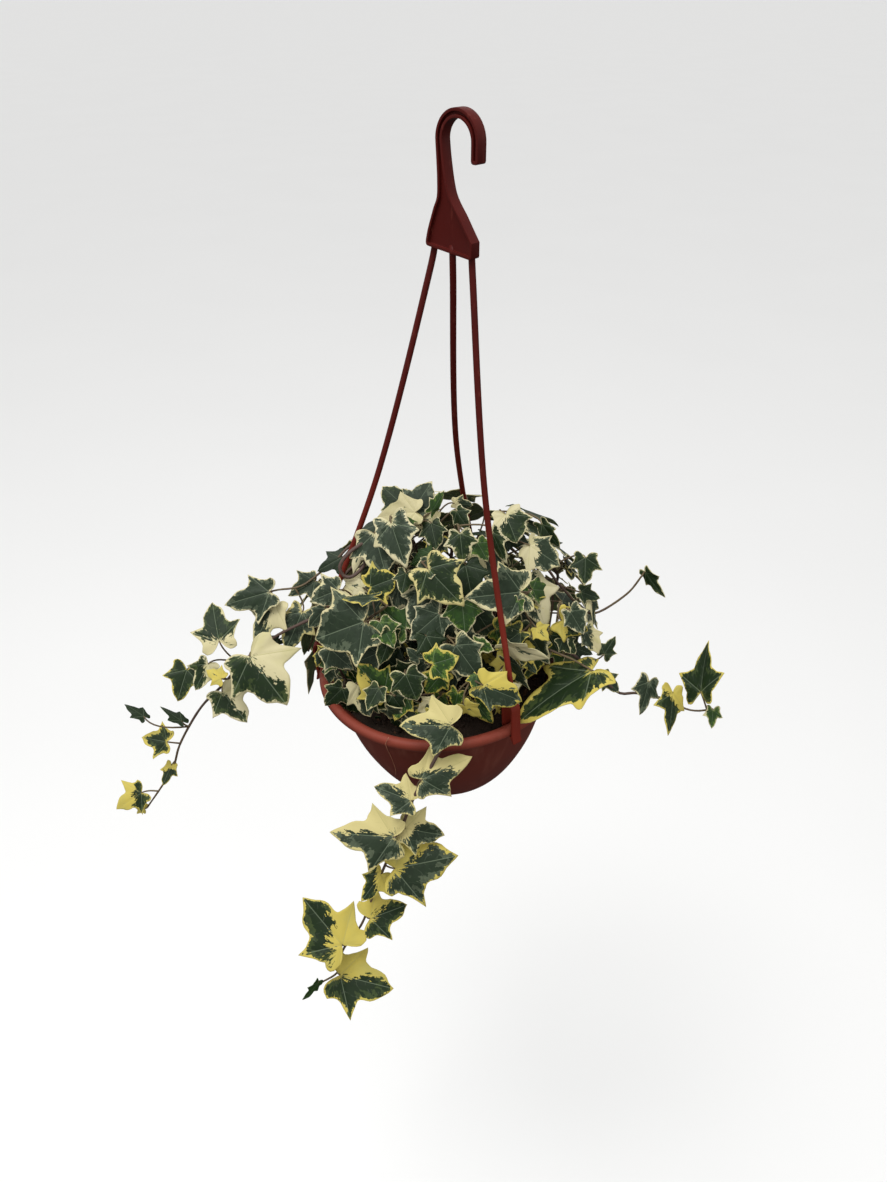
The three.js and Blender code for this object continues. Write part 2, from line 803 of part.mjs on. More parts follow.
// Corners of the petiole's square section in the stem
function petioleFoot(leaf, stemRings, moved, extra) {
  const joint = leaf.joint.clone().addScaledVector(leaf.slide, moved);
  const foot = footOn(stemRings, leaf, joint);
  const half = PETIOLE_WIDE / 2 + extra;
  const along = foot.clone().sub(joint).normalize();
  const lift = new THREE.Vector3().crossVectors(along, leaf.side).normalize();
  const across = new THREE.Vector3().crossVectors(lift, along);
  const corners = [[1, 1], [-1, 1], [-1, -1], [1, -1]];
  return corners.map(([i, j]) => foot.clone()
    .addScaledVector(across, i * half)
    .addScaledVector(lift, j * half));
}

function bladeFaces(count) {
  const faces = [];
  const tip = (count - 1) / 2;
  for (let i = 1; i < tip; i += 1) {
    faces.push([0, i, i + 1]);
    faces.push([count - 1, count - 2 - i, count - 1 - i]);
  }
  faces.push([0, tip, count - 1]);
  const under = faces.map(([i, j, k]) => [count + i, count + k, count + j]);
  const sides = [];
  for (let i = 0; i < count - 1; i += 1) {
    sides.push([i, count + i, count + i + 1], [i, count + i + 1, i + 1]);
  }
  return [...faces, ...under, ...sides];
}

function quad([a, b, c, d]) {
  return [[a, b, c], [a, c, d]];
}

// wanted says which of blade and petiole the closed body holds
function leafSolid(leaf, stemRings, moved, extra, wanted) {
  const outline = bladeOutline(leaf);
  const count = outline.length;
  const half = BLADE_THICK / 2 + extra;
  const top = outline.map((corner) => bladePoint(leaf, moved, corner, half));
  const under = outline.map((corner) => bladePoint(leaf, moved, corner, -half));
  const points = [...top, ...under, ...petioleFoot(leaf, stemRings, moved, extra)];
  const joint = [0, count - 1, 2 * count - 1, count];
  const foot = [0, 1, 2, 3].map((i) => 2 * count + i);
  const faces = [];
  if (wanted.blade) {
    faces.push(...bladeFaces(count));
  }
  if (wanted.petiole) {
    for (let i = 0; i < 4; i += 1) {
      const next = (i + 1) % 4;
      faces.push(...quad([joint[i], joint[next], foot[next], foot[i]]));
    }
    faces.push(...quad(foot));
  }
  if (!wanted.petiole) {
    faces.push(...quad(joint));
  }
  if (!wanted.blade) {
    faces.push(...quad(joint).map(([a, b, c]) => [a, c, b]));
  }
  const geometry = new THREE.BufferGeometry();
  const positions = points.flatMap((point) => point.toArray());
  geometry.setAttribute('position', new THREE.Float32BufferAttribute(positions, 3));
  geometry.setIndex(faces.flat());
  return solidOf(geometry);
}

function boxesMeet(a, b) {
  return [0, 1, 2].every((k) => a.min[k] <= b.max[k] && b.min[k] <= a.max[k]);
}

// A leaf keeps clear of every other stem's pieces. Where it can, its blade also keeps clear
// of the blades and petioles of its own stem, and where it can't, they grow together.
function meant(kind, owner, other, strict) {
  if (other.owner !== owner) {
    return true;
  }
  return strict && other.kind !== 'stem' && (kind === 'blade' || other.kind === 'blade');
}

function clashes(solid, kind, owner, placed, strict) {
  const box = solid.boundingBox();
  return placed.some((other) => meant(kind, owner, other, strict)
    && boxesMeet(box, other.box)
    && !solid.intersect(other.solid).isEmpty());
}

function place(placed, owner, kind, solid) {
  placed.push({ owner, kind, solid, box: solid.boundingBox() });
}

function isClear(leaf, rings, moved, name, placed, strict) {
  return ['blade', 'petiole'].every((kind) => {
    const solid = leafSolid(leaf, rings, moved, CLEAR, { [kind]: true });
    return !clashes(solid, kind, name, placed, strict);
  });
}

function clearSlide(leaf, rings, name, placed) {
  const slides = SLIDES.filter((slide) => slide >= (leaf.outmost ?? slide));
  const strict = slides.find((slide) => isClear(leaf, rings, slide, name, placed, true));
  return strict ?? slides.find((slide) => isClear(leaf, rings, slide, name, placed, false));
}

function stemSolid({ curve, radius, rings }) {
  return solidOf(tube(curve, 2 * radius, 2 * radius, 4, rings.length - 1));
}

function growIvy(stems, standing) {
  const placed = standing.slice();
  const grown = stems.map((stem) => [stemSolid(stem)]);
  stems.forEach(({ name }, i) => place(placed, name, 'stem', grown[i][0]));
  stems.forEach(({ name, leaves, rings }, i) => {
    for (const leaf of leaves) {
      const moved = clearSlide(leaf, rings, name, placed);
      if (moved === undefined) {
        continue;
      }
      for (const kind of ['blade', 'petiole']) {
        place(placed, name, kind, leafSolid(leaf, rings, moved, 0, { [kind]: true }));
      }
      grown[i].push(leafSolid(leaf, rings, moved, 0, { blade: true, petiole: true }));
    }
  });
  return grown.map(joined);
}

function boredSoil(soil, stems) {
  return stems.reduce((rest, { root: [x, y] }) => {
    const ground = soilHeightAt(x, y);
    const bore = new THREE.CylinderGeometry(HOLE_R, HOLE_R, HOLE_DEEP + 10, 4);
    bore.rotateX(Math.PI / 2).translate(x, y, ground - HOLE_DEEP + (HOLE_DEEP + 10) / 2);
    return rest.subtract(solidOf(bore));
  }, soil);
}

// Materials

function plastic(color, roughness) {
  return new THREE.MeshStandardMaterial({ color, roughness, metalness: 0 });
}

const hangerPlastic = plastic(0x5a2019, 0.42);
const bowlPlastic = plastic(0x8a4031, 0.62);
const soilMatter = plastic(0x1f1712, 1);
const foliage = plastic(0x3f5a3c, 0.5);

function addMesh(group, name, solid, material) {
  const mesh = new THREE.Mesh(geometryOf(solid), material);
  mesh.name = name;
  group.add(mesh);
}

function makePart() {
  const part = new THREE.Group();
  part.position.copy(BEARING).negate();
  const hanger = hangerSolid();
  const bowl = bowlSolid();
  const soil = soilSolid();
  const stems = makeStems();
  const standing = [];
  place(standing, 'hanger', 'hanger', hanger);
  place(standing, 'pot', 'pot', bowl);
  place(standing, 'soil', 'soil', soil);
  const ivy = growIvy(stems, standing);
  addMesh(part, 'hanger', hanger, hangerPlastic);
  addMesh(part, 'pot', bowl, bowlPlastic);
  addMesh(part, 'soil', boredSoil(soil, stems), soilMatter);
  stems.forEach(({ name }, i) => addMesh(part, name, ivy[i], foliage));
  return part;
}

export default makePart();
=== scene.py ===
import math

import bmesh
import bpy
import numpy as np
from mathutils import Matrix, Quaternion, Vector, noise
from mathutils.geometry import tessellate_polygon
from mathutils.kdtree import KDTree


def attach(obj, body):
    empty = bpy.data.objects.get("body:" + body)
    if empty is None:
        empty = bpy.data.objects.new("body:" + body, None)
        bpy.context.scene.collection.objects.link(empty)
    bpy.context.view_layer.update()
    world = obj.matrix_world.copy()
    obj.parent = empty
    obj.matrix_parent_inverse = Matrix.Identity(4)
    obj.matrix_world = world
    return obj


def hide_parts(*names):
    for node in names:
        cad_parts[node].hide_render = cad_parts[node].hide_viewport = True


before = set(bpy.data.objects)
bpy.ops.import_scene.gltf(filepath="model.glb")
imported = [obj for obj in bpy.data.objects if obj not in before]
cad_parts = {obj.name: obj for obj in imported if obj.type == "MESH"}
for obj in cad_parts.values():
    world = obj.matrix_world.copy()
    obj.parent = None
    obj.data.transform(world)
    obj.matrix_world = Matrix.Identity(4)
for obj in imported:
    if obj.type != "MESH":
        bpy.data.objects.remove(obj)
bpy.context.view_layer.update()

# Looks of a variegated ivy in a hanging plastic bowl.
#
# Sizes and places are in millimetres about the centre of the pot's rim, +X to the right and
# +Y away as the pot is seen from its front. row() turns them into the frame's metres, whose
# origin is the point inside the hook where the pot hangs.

BEARING = Vector((12.9, 0, 433.3))

# Eye and lens
EYE = Vector((2.2, -623.3, 505.7))
PITCH = math.radians(34.7)
LENS = 27.05
SENSOR = 36

# Studio, in metres
FLOOR_Z = -1.45
FLOOR_REACH = 150
VIEW_REACH = 500
SKY_FADE = (-0.35, 0.02)
SKY_BELOW = 0.1
SKY_ABOVE = 0.8
LIGHT_PLACE = Vector((-0.6, -0.5, 1.8))
LIGHT_TARGET = Vector((0, 0, -0.4))
LIGHT_SIZE = 1.3
LIGHT_ENERGY = 36

# Bowl
RIM_R = 110
RIM_TALL = 9
WALL = 2.3
BOWL_DEEP = 122
FLOOR_TOP = -BOWL_DEEP + WALL + 0.2
FOOT_R = 50
FOOT_RING = [(0, -BOWL_DEEP + 1.2), (44, -BOWL_DEEP + 1.2), (45.5, -BOWL_DEEP), (49, -BOWL_DEEP)]
POT_TILT = math.radians(-3.3)
POT_SIDES = 144
BOWL_OUTER = [(50, -122), (60, -112), (71.5, -94), (84, -66), (93, -34), (98.8, -8.2)]
ROLLED_RIM = [(101, -RIM_TALL), (107.5, -RIM_TALL), (109.7, -7.6), (110.3, -4.6), (109.4, -1.6),
              (106.6, -0.1), (103.6, -0.7), (101.6, -2.8), (100.9, -6)]
WALL_LEVELS = (-10, -20, -34, -50, -66, -80, -94, -110)
DRAINS = 4
DRAIN_R = 4
DRAIN_CIRCLE_R = 28
DRAIN_SIDES = 24

# Soil. A heap is (x, y, height, reach).
SOIL_TOP = -14
SOIL_GAP = 0.6
SOIL_HEAPS = [(30, -62, 9, 30), (-10, 15, 6, 50)]
SOIL_EDGE_R = 93
SOIL_EDGE_FADE = 18
SOIL_LEVELS = (-34, -66, -94, -112)
SOIL_RINGS = 80
SOIL_SIDES = 200
CRUMBS = 420
CRUMBS_R = 88
CRUMB_SIDES = 6

# Hanger. A strap goes from a place along the head's foot to its clip, which stands at an
# angle on the rim.
HOOK_TURN = math.radians(-45)
HOOK_IN = 13
HOOK_OUT = 18.8
HOOK_TAIL = 12
HEAD_DEEP = 8
HEAD_FLANGE = 1.9
HEAD_WEB = 3.6
HEAD_CORNER = 1.7
HEAD_ROUND = 0.7
PLATE_LEFT = -28.5
PLATE_RIGHT = 14.8
PLATE_LOW = -67.5
PLATE_SLANT = 2.7
HEAD_INSIDE = [(-11.7, -10), (-9, -23.6), (-6.1, -32.6), (-1.7, -39), (3.1, -44.4), (9.3, -52.5),
               (PLATE_RIGHT, -59.5)]
HEAD_OUTSIDE = [(PLATE_LEFT, -64), (-26.8, -57.6), (-24, -50), (-20.8, -42), (-17.6, -35),
                (-17.2, -25), (-17.8, -13)]
STRAP_WIDE = 5.2
STRAP_THICK = 4.2
STRAP_SIDES = 16
STRAP_STEPS = 60
CLIP_WIDE = 8.4
CLIP_THICK = 2.5
CLIP_FLARE = 2
CLIP_GAP = 0.4
CLIP_RISE = 26
CLIP_LOW = -4.5
CLIP_BARB = 2.6
CLIP_ROUND = 0.6
STRAPS = [
    {"from": -26, "angle": 180, "bow": (6, -3, -6)},
    {"from": -6.5, "angle": 71, "bow": (-8, -5, 0)},
    {"from": 12, "angle": 303, "bow": (-6, 4, 0)},
]

# Ivy, as the part has it
CAD_HALF_THICK = 0.4
CAD_DROOP = -0.1
CAD_CORNERS = [(0.58, 0.34, -0.04), (0.36, -0.2, -0.05), (0.3, 0.52, 0.03)]
CORNER_MISS = 3e-5
STEM_STEP = 20
HOLE_DEEP = 11
DOME_CENTRE = Vector((8, 20, 0))
DOME_R = Vector((150, 112, 150))
SLIDES = [0, 5, -5, 10, -10, 15, -15, 20, -20, 25, -25, 30, -30]
RULED_SLIDE = -1
VARIATION = {"nod": (-0.16, 0.16), "turn": (-0.16, 0.16), "left": (0.88, 1.12),
             "right": (0.88, 1.12), "droop": (0.4, 1.7), "side": (-1, 1)}

# Ivy's finer form
BLADE_THICK = 0.45
PETIOLE_R = 0.75
PETIOLE_STEPS = 9
PETIOLE_SIDES = 7
STEM_SIDES = 9
STEM_SPACING = 4
RING_SHARES = [0.1, 0.25, 0.42, 0.58, 0.72, 0.84, 0.93, 1.0]
YOUNG_RING_SHARES = [0.3, 0.6, 0.85, 1.0]
CROWN_BAY = 1.25
EDGE_SCALE = 0.3
VEIN_GROOVE = 0.012
VEIN_REACH = 0.03
CIRCLE = 6.3

# Half an ivy blade as shares of its length, from the petiole's notch round the basal lobe to
# the side lobe's tip, and from there over the bay to the tip
BASAL_HALF = [(0.02, -0.02), (0.1, -0.13), (0.22, -0.22), (0.36, -0.22), (0.43, -0.13),
              (0.405, -0.01), (0.45, 0.13), (0.54, 0.26), (0.645, 0.385)]
TIP_HALF = [(0.645, 0.385), (0.53, 0.405), (0.41, 0.42), (0.32, 0.455), (0.272, 0.53),
            (0.262, 0.64), (0.2, 0.79), (0.09, 0.93), (0, 1.04)]
BASAL_TIP = 5
SIDE_TIP = 16

# Words of a look: how wide the pale margin is and how far it spreads, and to which side
WORDS = {
    "dark": (-0.45, 0), "thin": (0.0, 0), "wide": (0.16, 0), "half": (0.06, 1),
    "vast": (0.28, 0.8), "cream": (1.0, 0),
}
SIDES = {"up": (0, 1), "down": (0, -1), "left": (-1, 0), "right": (1, 0)}

# Leafy stems. A leaf is
# (joint across, joint up, tip across, tip up, place, apparent width, look),
# as in the part: mm on the plane through the rim's centre that faces the eye. Each route
# point is (across, up, y). The words of a look are explained at look_numbers.
STEMS = {
    "ivy_back_left": {"root": (-25, 34), "leaves": [
        (-23, 132, -58, 130, 0.98, 0.8, "cream"), (-35, 139, -53, 156, 1.0, 1, "thin deep"),
        (-24, 136, -9, 160, 1.0, 1, "thin"),
    ]},
    "ivy_back_middle": {"root": (0, 40), "leaves": [
        (-4, 125, -29, 122, 0.97, 0.8, "cream"), (-9, 122, -4, 98, 1.03, 0.9, "thin deep"),
        (12, 140, 29, 138, 0.98, 0.6, "half left"), (14, 133, 24, 116, 0.95, 0.7, "thin deep"),
        (-9, 132, 4, 151, 1.0, 0.4, "thin bright"),
    ]},
    "ivy_back_right": {"root": (20, 36), "leaves": [
        (46, 114, 57, 85, 0.98, 0.4, "wide deep"), (22, 84, 28, 54, 0.9, 1, "dark deep"),
        (17, 113, 20, 88, 1.0, 1.1, "wide deep"),
    ]},
    "ivy_upper_left": {"root": (-42, 20), "leaves": [
        (-50, 105, -34, 84, 0.93, 0.8, "cream"), (-72, 100, -80, 77, 0.93, 0.6, "cream"),
        (-60, 113, -50, 77, 1.0, 1.2, "wide"), (-45, 122, -33, 85, 1.06, 0.8, "wide"),
    ]},
    "ivy_upper_right": {"root": (44, 34), "leaves": [
        (80, 102, 107, 84, 1.0, 1.1, "half left"), (91, 121, 106, 100, 1.05, 0.4, "thin deep"),
        (58, 130, 68, 105, 1.03, 1.2, "half up left deep"),
    ]},
    "ivy_twig_right": {"root": (82, 26), "route": [
        (88, 82, 20), (107, 66, 10), (124, 48, 5), (139, 41, 0), (167, 58, 0), (182, 76, 0),
    ], "leaves": [
        (130, 91, 129, 67, 8, 1, "thin deep"), (126, 60, 143, 54, 3, 0.8, "thin deep"),
        (135, 54, 138, 30, 0, 0.4, "half left"), (184, 78, 198, 56, 0, 0.35, "thin deep"),
    ]},
    "ivy_branch_left": {"root": (-62, 12), "route": [
        (-72, 98, 20), (-100, 84, 10), (-125, 66, 0), (-147, 62, -4), (-155, 60, -5),
    ], "leaves": [
        (-90, 91, -111, 79, 8, 0.8, "dark"), (-114, 70, -137, 58, 4, 0.9, "thin"),
        (-125, 42, -140, 8, -16, 0.9, "wide warm"), (-150, 49, -168, 15, -12, 0.8, "half right"),
        (-147, 17, -160, 10, -8, 0.8, "dark deep"), (-155, 60, -195, 49, -6, 0.8, "thin"),
    ]},
    "ivy_trail_left": {"root": (-72, -8), "route": [
        (-100, 34, -20), (-136, 27, -25), (-172, 3, -32), (-197, -24, -38), (-214, -41, -42),
        (-226, -59, -46), (-236, -79, -50), (-241, -97, -53), (-251, -114, -56),
        (-264, -133, -59),
    ], "leaves": [
        (-200, 16, -210, 51, -38, 0.85, "thin down deep"),
        (-172, 2, -141, -39, -48, 1.05, "half up right deep"),
        (-197, -30, -176, -56, -50, 1, "half up right deep"),
        (-210, -5, -222, -28, -42, 0.9, "half right deep"),
        (-198, -18, -212, -11, -52, 1, "cream yellow"),
        (-229, -10, -236, -36, -40, 1, "thin yellow deep"),
        (-234, -56, -252, -44, -48, 0.4, "dark deep"),
        (-268, -52, -284, -41, -50, 0.5, "dark deep"),
        (-247, -75, -268, -71, -54, 1.2, "vast yellow deep"),
        (-243, -96, -249, -112, -54, 0.8, "half up yellow deep"),
        (-270, -121, -290, -134, -60, 1.1, "half left yellow deep"),
        (-267, -135, -278, -131, -60, 0.8, "cream yellow"),
    ]},
    "ivy_rim_left": {"root": (-72, -22), "leaves": [
        (-105, 45, -120, 28, 0.9, 0.9, "thin"), (-71, 64, -87, 68, 0.92, 0.8, "cream"),
        (-92, 62, -118, 52, 1.0, 1.1, "wide"), (-60, 56, -88, 54, 1.04, 0.4, "wide yellow"),
    ]},
    "ivy_centre_left": {"root": (-22, 8), "leaves": [
        (-10, 95, -27, 85, 0.92, 0.8, "dark bright"),
        (-64, 64, -40, 73, 1.03, 1.2, "wide yellow deep"), (-37, 68, -8, 42, 0.98, 1, "wide"),
    ]},
    "ivy_large_left": {"root": (-55, -18), "leaves": [
        (-45, 23, -54, -7, 0.97, 0.6, "thin deep"), (-57, 5, -79, -5, 0.9, 0.9, "thin"),
        (-70, 33, -115, 17, 1.06, 1.15, "thin"),
    ]},
    "ivy_centre": {"root": (-20, -18), "leaves": [
        (-20, 0, -31, 9, 0.92, 0.9, "thin"), (-2, 40, -27, 18, 0.94, 1, "thin"),
        (-32, 27, -57, 47, 1.04, 1, "thin bright"),
    ]},
    "ivy_centre_right": {"root": (4, -5), "leaves": [
        (12, 27, -14, 23, 0.95, 0.9, "thin"), (19, 50, 22, 23, 0.93, 1.1, "thin bright"),
        (-12, 81, 18, 49, 1.04, 1, "wide warm deep"),
    ]},
    "ivy_front_right": {"root": (8, -38), "leaves": [
        (0, -14, -14, -33, 0.95, 0.9, "wide yellow bright"),
        (-8, -5, 15, 2, 1.06, 1.3, "wide yellow bright"), (13, 12, 35, -18, 1.0, 1, "thin"),
    ]},
    "ivy_front_left": {"root": (-48, -48), "leaves": [
        (-75, -24, -63, -54, 0.94, 0.7, "half left"), (-44, -33, -34, -49, 0.96, 1, "thin deep"),
        (-51, -30, -77, -6, 1.04, 1.1, "half down left yellow bright"),
    ]},
    "ivy_front_middle": {"root": (-22, -56), "leaves": [
        (-32, -14, -22, -39, 0.97, 1.1, "thin deep"), (-22, -49, -36, -58, 0.96, 0.9, "thin"),
        (-6, -39, -21, -49, 0.98, 0.9, "cream"),
    ]},
    "ivy_rim_front_left": {"root": (-78, -34), "leaves": [
        (-108, 6, -112, -8, 0.95, 0.5, "wide yellow"), (-100, 9, -81, -9, 0.93, 1, "thin"),
    ]},
    "ivy_right_inner": {"root": (34, 4), "leaves": [
        (31, 15, 48, 8, 0.95, 0.7, "wide bright"), (72, 60, 25, 55, 1.07, 0.95, "wide"),
    ]},
    "ivy_right_middle": {"root": (62, 8), "leaves": [
        (61, 32, 80, 23, 0.95, 0.8, "cream yellow"), (86, 28, 97, 16, 0.97, 0.9, "cream yellow"),
        (70, 43, 98, 25, 0.98, 0.5, "wide yellow"), (78, 68, 96, 28, 0.98, 0.85, "half right"),
    ]},
    "ivy_right_outer": {"root": (84, 8), "leaves": [
        (110, 18, 122, 4, 0.95, 0.9, "thin deep"), (131, 25, 143, 5, 1.0, 0.8, "half right"),
        (116, 43, 128, 23, 1.03, 1, "wide"),
    ]},
    "ivy_trail_right": {"root": (80, -18), "route": [
        (112, 5, -30), (132, -8, -36), (147, -20, -40), (161, -31, -41), (176, -31, -41),
        (197, -35, -41), (220, -45, -41), (231, -47, -41), (241, -46, -41),
    ], "leaves": [
        (147, 4, 157, 19, -25, 0.9, "thin deep"), (147, -17, 160, -30, -36, 0.9, "thin"),
        (187, -21, 180, -48, -42, 0.75, "thin"),
        (209, -31, 206, -64, -42, 0.6, "half up right yellow deep"),
        (234, -30, 240, 12, -42, 0.45, "thin yellow deep"),
        (245, -46, 243, -61, -42, 0.8, "wide bright"),
    ]},
    "ivy_large_right": {"root": (62, -30), "route": [
        (85, 8, -44), (112, 2, -54), (128, -6, -56),
    ], "leaves": [
        (122, 9, 136, 4, -30, 0.8, "dark"),
        (135, -11, 65, -46, -58, 0.5, "wide yellow deep blunt"),
    ]},
    "ivy_front_inner": {"root": (52, -28), "leaves": [
        (58, 13, 95, -4, 0.97, 0.4, "cream"), (74, 1, 86, -14, 0.93, 0.6, "half up yellow"),
        (60, -2, 77, -29, 0.95, 0.4, "thin"), (82, 20, 96, -7, 0.98, 0.6, "wide"),
    ]},
    "ivy_front_young": {"root": (36, -54), "leaves": [
        (38, -24, 74, -40, 1.12, 0.8, "half up yellow"),
    ]},
    "ivy_trail_front": {"root": (16, -64), "route": [
        (9, -50, -104), (4, -72, -118), (-4, -88, -124), (-16, -110, -130), (-27, -130, -134),
        (-38, -160, -140), (-50, -185, -146), (-62, -215, -150), (-72, -240, -154),
        (-88, -262, -158), (-93, -282, -160), (-108, -292, -162),
    ], "leaves": [
        (9, -60, -36, -61, -120, 1, "half up warm"),
        (-17, -109, 26, -90, -134, 0.85, "half up warm"),
        (-27, -128, -59, -116, -140, 1, "half up right warm"),
        (-32, -153, 2, -161, -138, 0.9, "half up left warm"),
        (-43, -161, -96, -159, -148, 0.9, "half up warm"),
        (-42, -189, 11, -180, -156, 1, "half up left yellow"),
        (-54, -194, -70, -216, -150, 0.9, "half right yellow deep"),
        (-64, -234, -33, -225, -160, 1.2, "half up left yellow deep"),
        (-89, -258, -123, -223, -166, 1.1, "half right yellow deep"),
        (-91, -285, -48, -294, -168, 0.95, "half up yellow deep"),
        (-111, -292, -121, -306, -165, 0.4, "dark bright"),
    ]},
}

# Stems behind and inside the crown, by rule. An inner stem is (x, y, azimuth of its leaves).
BACK_STEMS = 8
BACK_LEAVES = 5
BACK_FROM = 30
BACK_TO = 165
BACK_ROOTS_R = (66, 80)
BACK_HIGH = 62
BACK_STEP = 19
BACK_SHARES = (0.86, 0.98)
BACK_LENGTHS = (29, 44)
INNER_STEMS = [(-39, -4, 204), (-36, -33, 228), (-5, -38, 250), (22, -22, 282),
               (42, -10, 315), (20, 14, 350)]
INNER_LEAVES = 4
INNER_HIGH = 66
INNER_STEP = 17
INNER_SHARES = (0.76, 0.92)
INNER_LENGTHS = (25, 35)
RULED_LOOKS = ["wide", "thin", "thin deep", "half left", "wide warm", "dark", "half right",
               "thin", "wide yellow", "thin deep", "half down", "cream"]

# Young leaves between the grown ones, and the stems that have more of them
YOUNG_LEAVES = 5
YOUNG_LENGTHS = (13, 25)
YOUNG_LOOKS = ["thin deep", "dark deep", "thin", "wide", "thin bright", "thin deep",
               "wide yellow"]
THICK_LEAVES = 10
THICK_LOOKS = ["wide yellow deep", "thin deep", "wide yellow bright", "cream yellow",
               "thin bright", "half left yellow deep"]
THICK_STEMS = {"ivy_right_inner", "ivy_right_middle", "ivy_front_inner", "ivy_front_young",
               "ivy_front_middle", "ivy_right_outer"}

# Old bare stem that loops at the crown's left: (across, up, share of the dome)
LOOP = [(-50, 112, 0.9), (-68, 105, 1.0), (-82, 96, 1.04), (-91, 84, 1.04), (-88, 75, 1.0),
        (-80, 74, 0.97), (-70, 83, 0.94), (-66, 95, 0.9), (-62, 100, 0.82)]
LOOP_STEM = "ivy_branch_left"
LOOP_R = 1.5
LOOP_STEPS = 48
LOOP_AGE = 0.1

# Small weed at the left front and a root thread down the bowl's outside, as (across, up)
CLOVERS = [(-84, -19), (-79, -26), (-86, -31), (-76, -33), (-81, -39), (-88, -24)]
CLOVERS_R = 86
CLOVER_STALK_R = 0.3
LEAFLET_SIDES = 10
THREAD = [(-47, -71), (-49.3, -75), (-49.5, -79), (-44.5, -90), (-41.2, -99), (-40.8, -105)]
THREAD_R = 0.3
THREAD_SIDES = 6
RAY_STEP = 0.1
RAY_STEPS = 4000


class Draws:
    """Seeded draws. The part makes the same ones in the same order."""

    FACTOR = 16807
    MODULUS = 2147483647

    def __init__(self, seed):
        self.seed = seed

    def __call__(self, low, high):
        self.seed = (self.seed * self.FACTOR) % self.MODULUS
        return low + (high - low) * (self.seed / self.MODULUS)


draw = Draws(20817)
look_draw = Draws(4711)


# Places

RIGHT = Vector((1, 0, 0))
HIGH = Vector((0, 0, 1))
UP = Vector((0, math.sin(PITCH), math.cos(PITCH)))
TOWARD = Vector((0, -math.cos(PITCH), math.sin(PITCH)))


def row(point):
    """A point of this script, in the frame's metres."""
    return (Vector(point) - BEARING) / 1000


def over_parts(a, b):
    return Vector((a.x / b.x, a.y / b.y, a.z / b.z))


def drawn(u, v):
    return RIGHT * u + UP * v


def at_depth(u, v, y):
    ray = drawn(u, v) - EYE
    return EYE + ray * ((y - EYE.y) / ray.y)


def on_dome(u, v, share):
    ray = (drawn(u, v) - EYE).normalized()
    start = over_parts(EYE - DOME_CENTRE, DOME_R)
    step = over_parts(ray, DOME_R)
    nearest = -start.dot(step) / step.length_squared
    miss = (start + step * nearest).length_squared
    back = math.sqrt(max(0, share ** 2 - miss) / step.length_squared)
    return EYE + ray * (nearest - back)


def dome_point(direction, share):
    return direction.normalized() * share * DOME_R + DOME_CENTRE


def dome_normal(point):
    return over_parts(over_parts(point - DOME_CENTRE, DOME_R), DOME_R).normalized()


def turned(vector, axis, angle):
    return Quaternion(axis, angle) @ vector


def hanging(normal, swing):
    """The way down along a leaf's plane, swung to one side."""
    down = turned(-HIGH, normal, swing)
    return down - normal * down.dot(normal)


def leaf_variation(source):
    return {name: source(*ends) for name, ends in VARIATION.items()}


def leaf_frame(joint, axis_rough, normal_rough, length, apparent, slide, vary, **looks):
    axis = axis_rough.normalized()
    side = axis.cross(normal_rough).normalized()
    narrow = apparent < 0.8
    roll = math.acos(math.sqrt(apparent)) * math.copysign(1, vary["side"]) if narrow else 0
    side = turned(side, axis, roll)
    return {"joint": joint, "axis": axis, "side": side, "normal": side.cross(axis),
            "length": length, "width": math.sqrt(apparent) if narrow else apparent,
            "slide": slide, "vary": vary, "ring_shares": RING_SHARES, "bay": CROWN_BAY, **looks}


def drawn_leaf(values, on_route):
    u, v, tip_u, tip_v, place, apparent, look = values
    vary = leaf_variation(draw)
    joint = at_depth(u, v, place) if on_route else on_dome(u, v, place)
    lean = Vector((0, -0.1, 0.35)) if on_route else dome_normal(joint) * 0.6
    normal = (TOWARD + lean + UP * vary["nod"] + RIGHT * vary["turn"]).normalized()
    flat = drawn(tip_u - u, tip_v - v)
    flat += TOWARD * (-flat.dot(normal) / TOWARD.dot(normal))
    nearer = (joint - EYE).length / EYE.length
    pointed = on_route or look_draw(0, 1) < 0.65
    return leaf_frame(joint, flat, normal, flat.length * nearer, apparent,
                      (EYE - joint).normalized(), vary, look=look,
                      pointed=pointed and "blunt" not in look, bay=1 if on_route else CROWN_BAY)


def ruled_leaf(azimuth, height, shares, lengths):
    vary = leaf_variation(draw)
    around = math.radians(azimuth + draw(-9, 9))
    rise = math.radians(height + draw(-6, 6))
    direction = Vector((math.cos(rise) * math.cos(around), math.cos(rise) * math.sin(around),
                        math.sin(rise)))
    joint = dome_point(direction, draw(*shares))
    normal = (dome_normal(joint) + Vector((vary["nod"], vary["turn"], 0.25))).normalized()
    return leaf_frame(joint, hanging(normal, draw(-0.9, 0.9)), normal, draw(*lengths),
                      draw(0.8, 1.15), dome_normal(joint) * RULED_SLIDE, vary,
                      look=RULED_LOOKS[int(look_draw(0, len(RULED_LOOKS)))],
                      pointed=look_draw(0, 1) < 0.5)


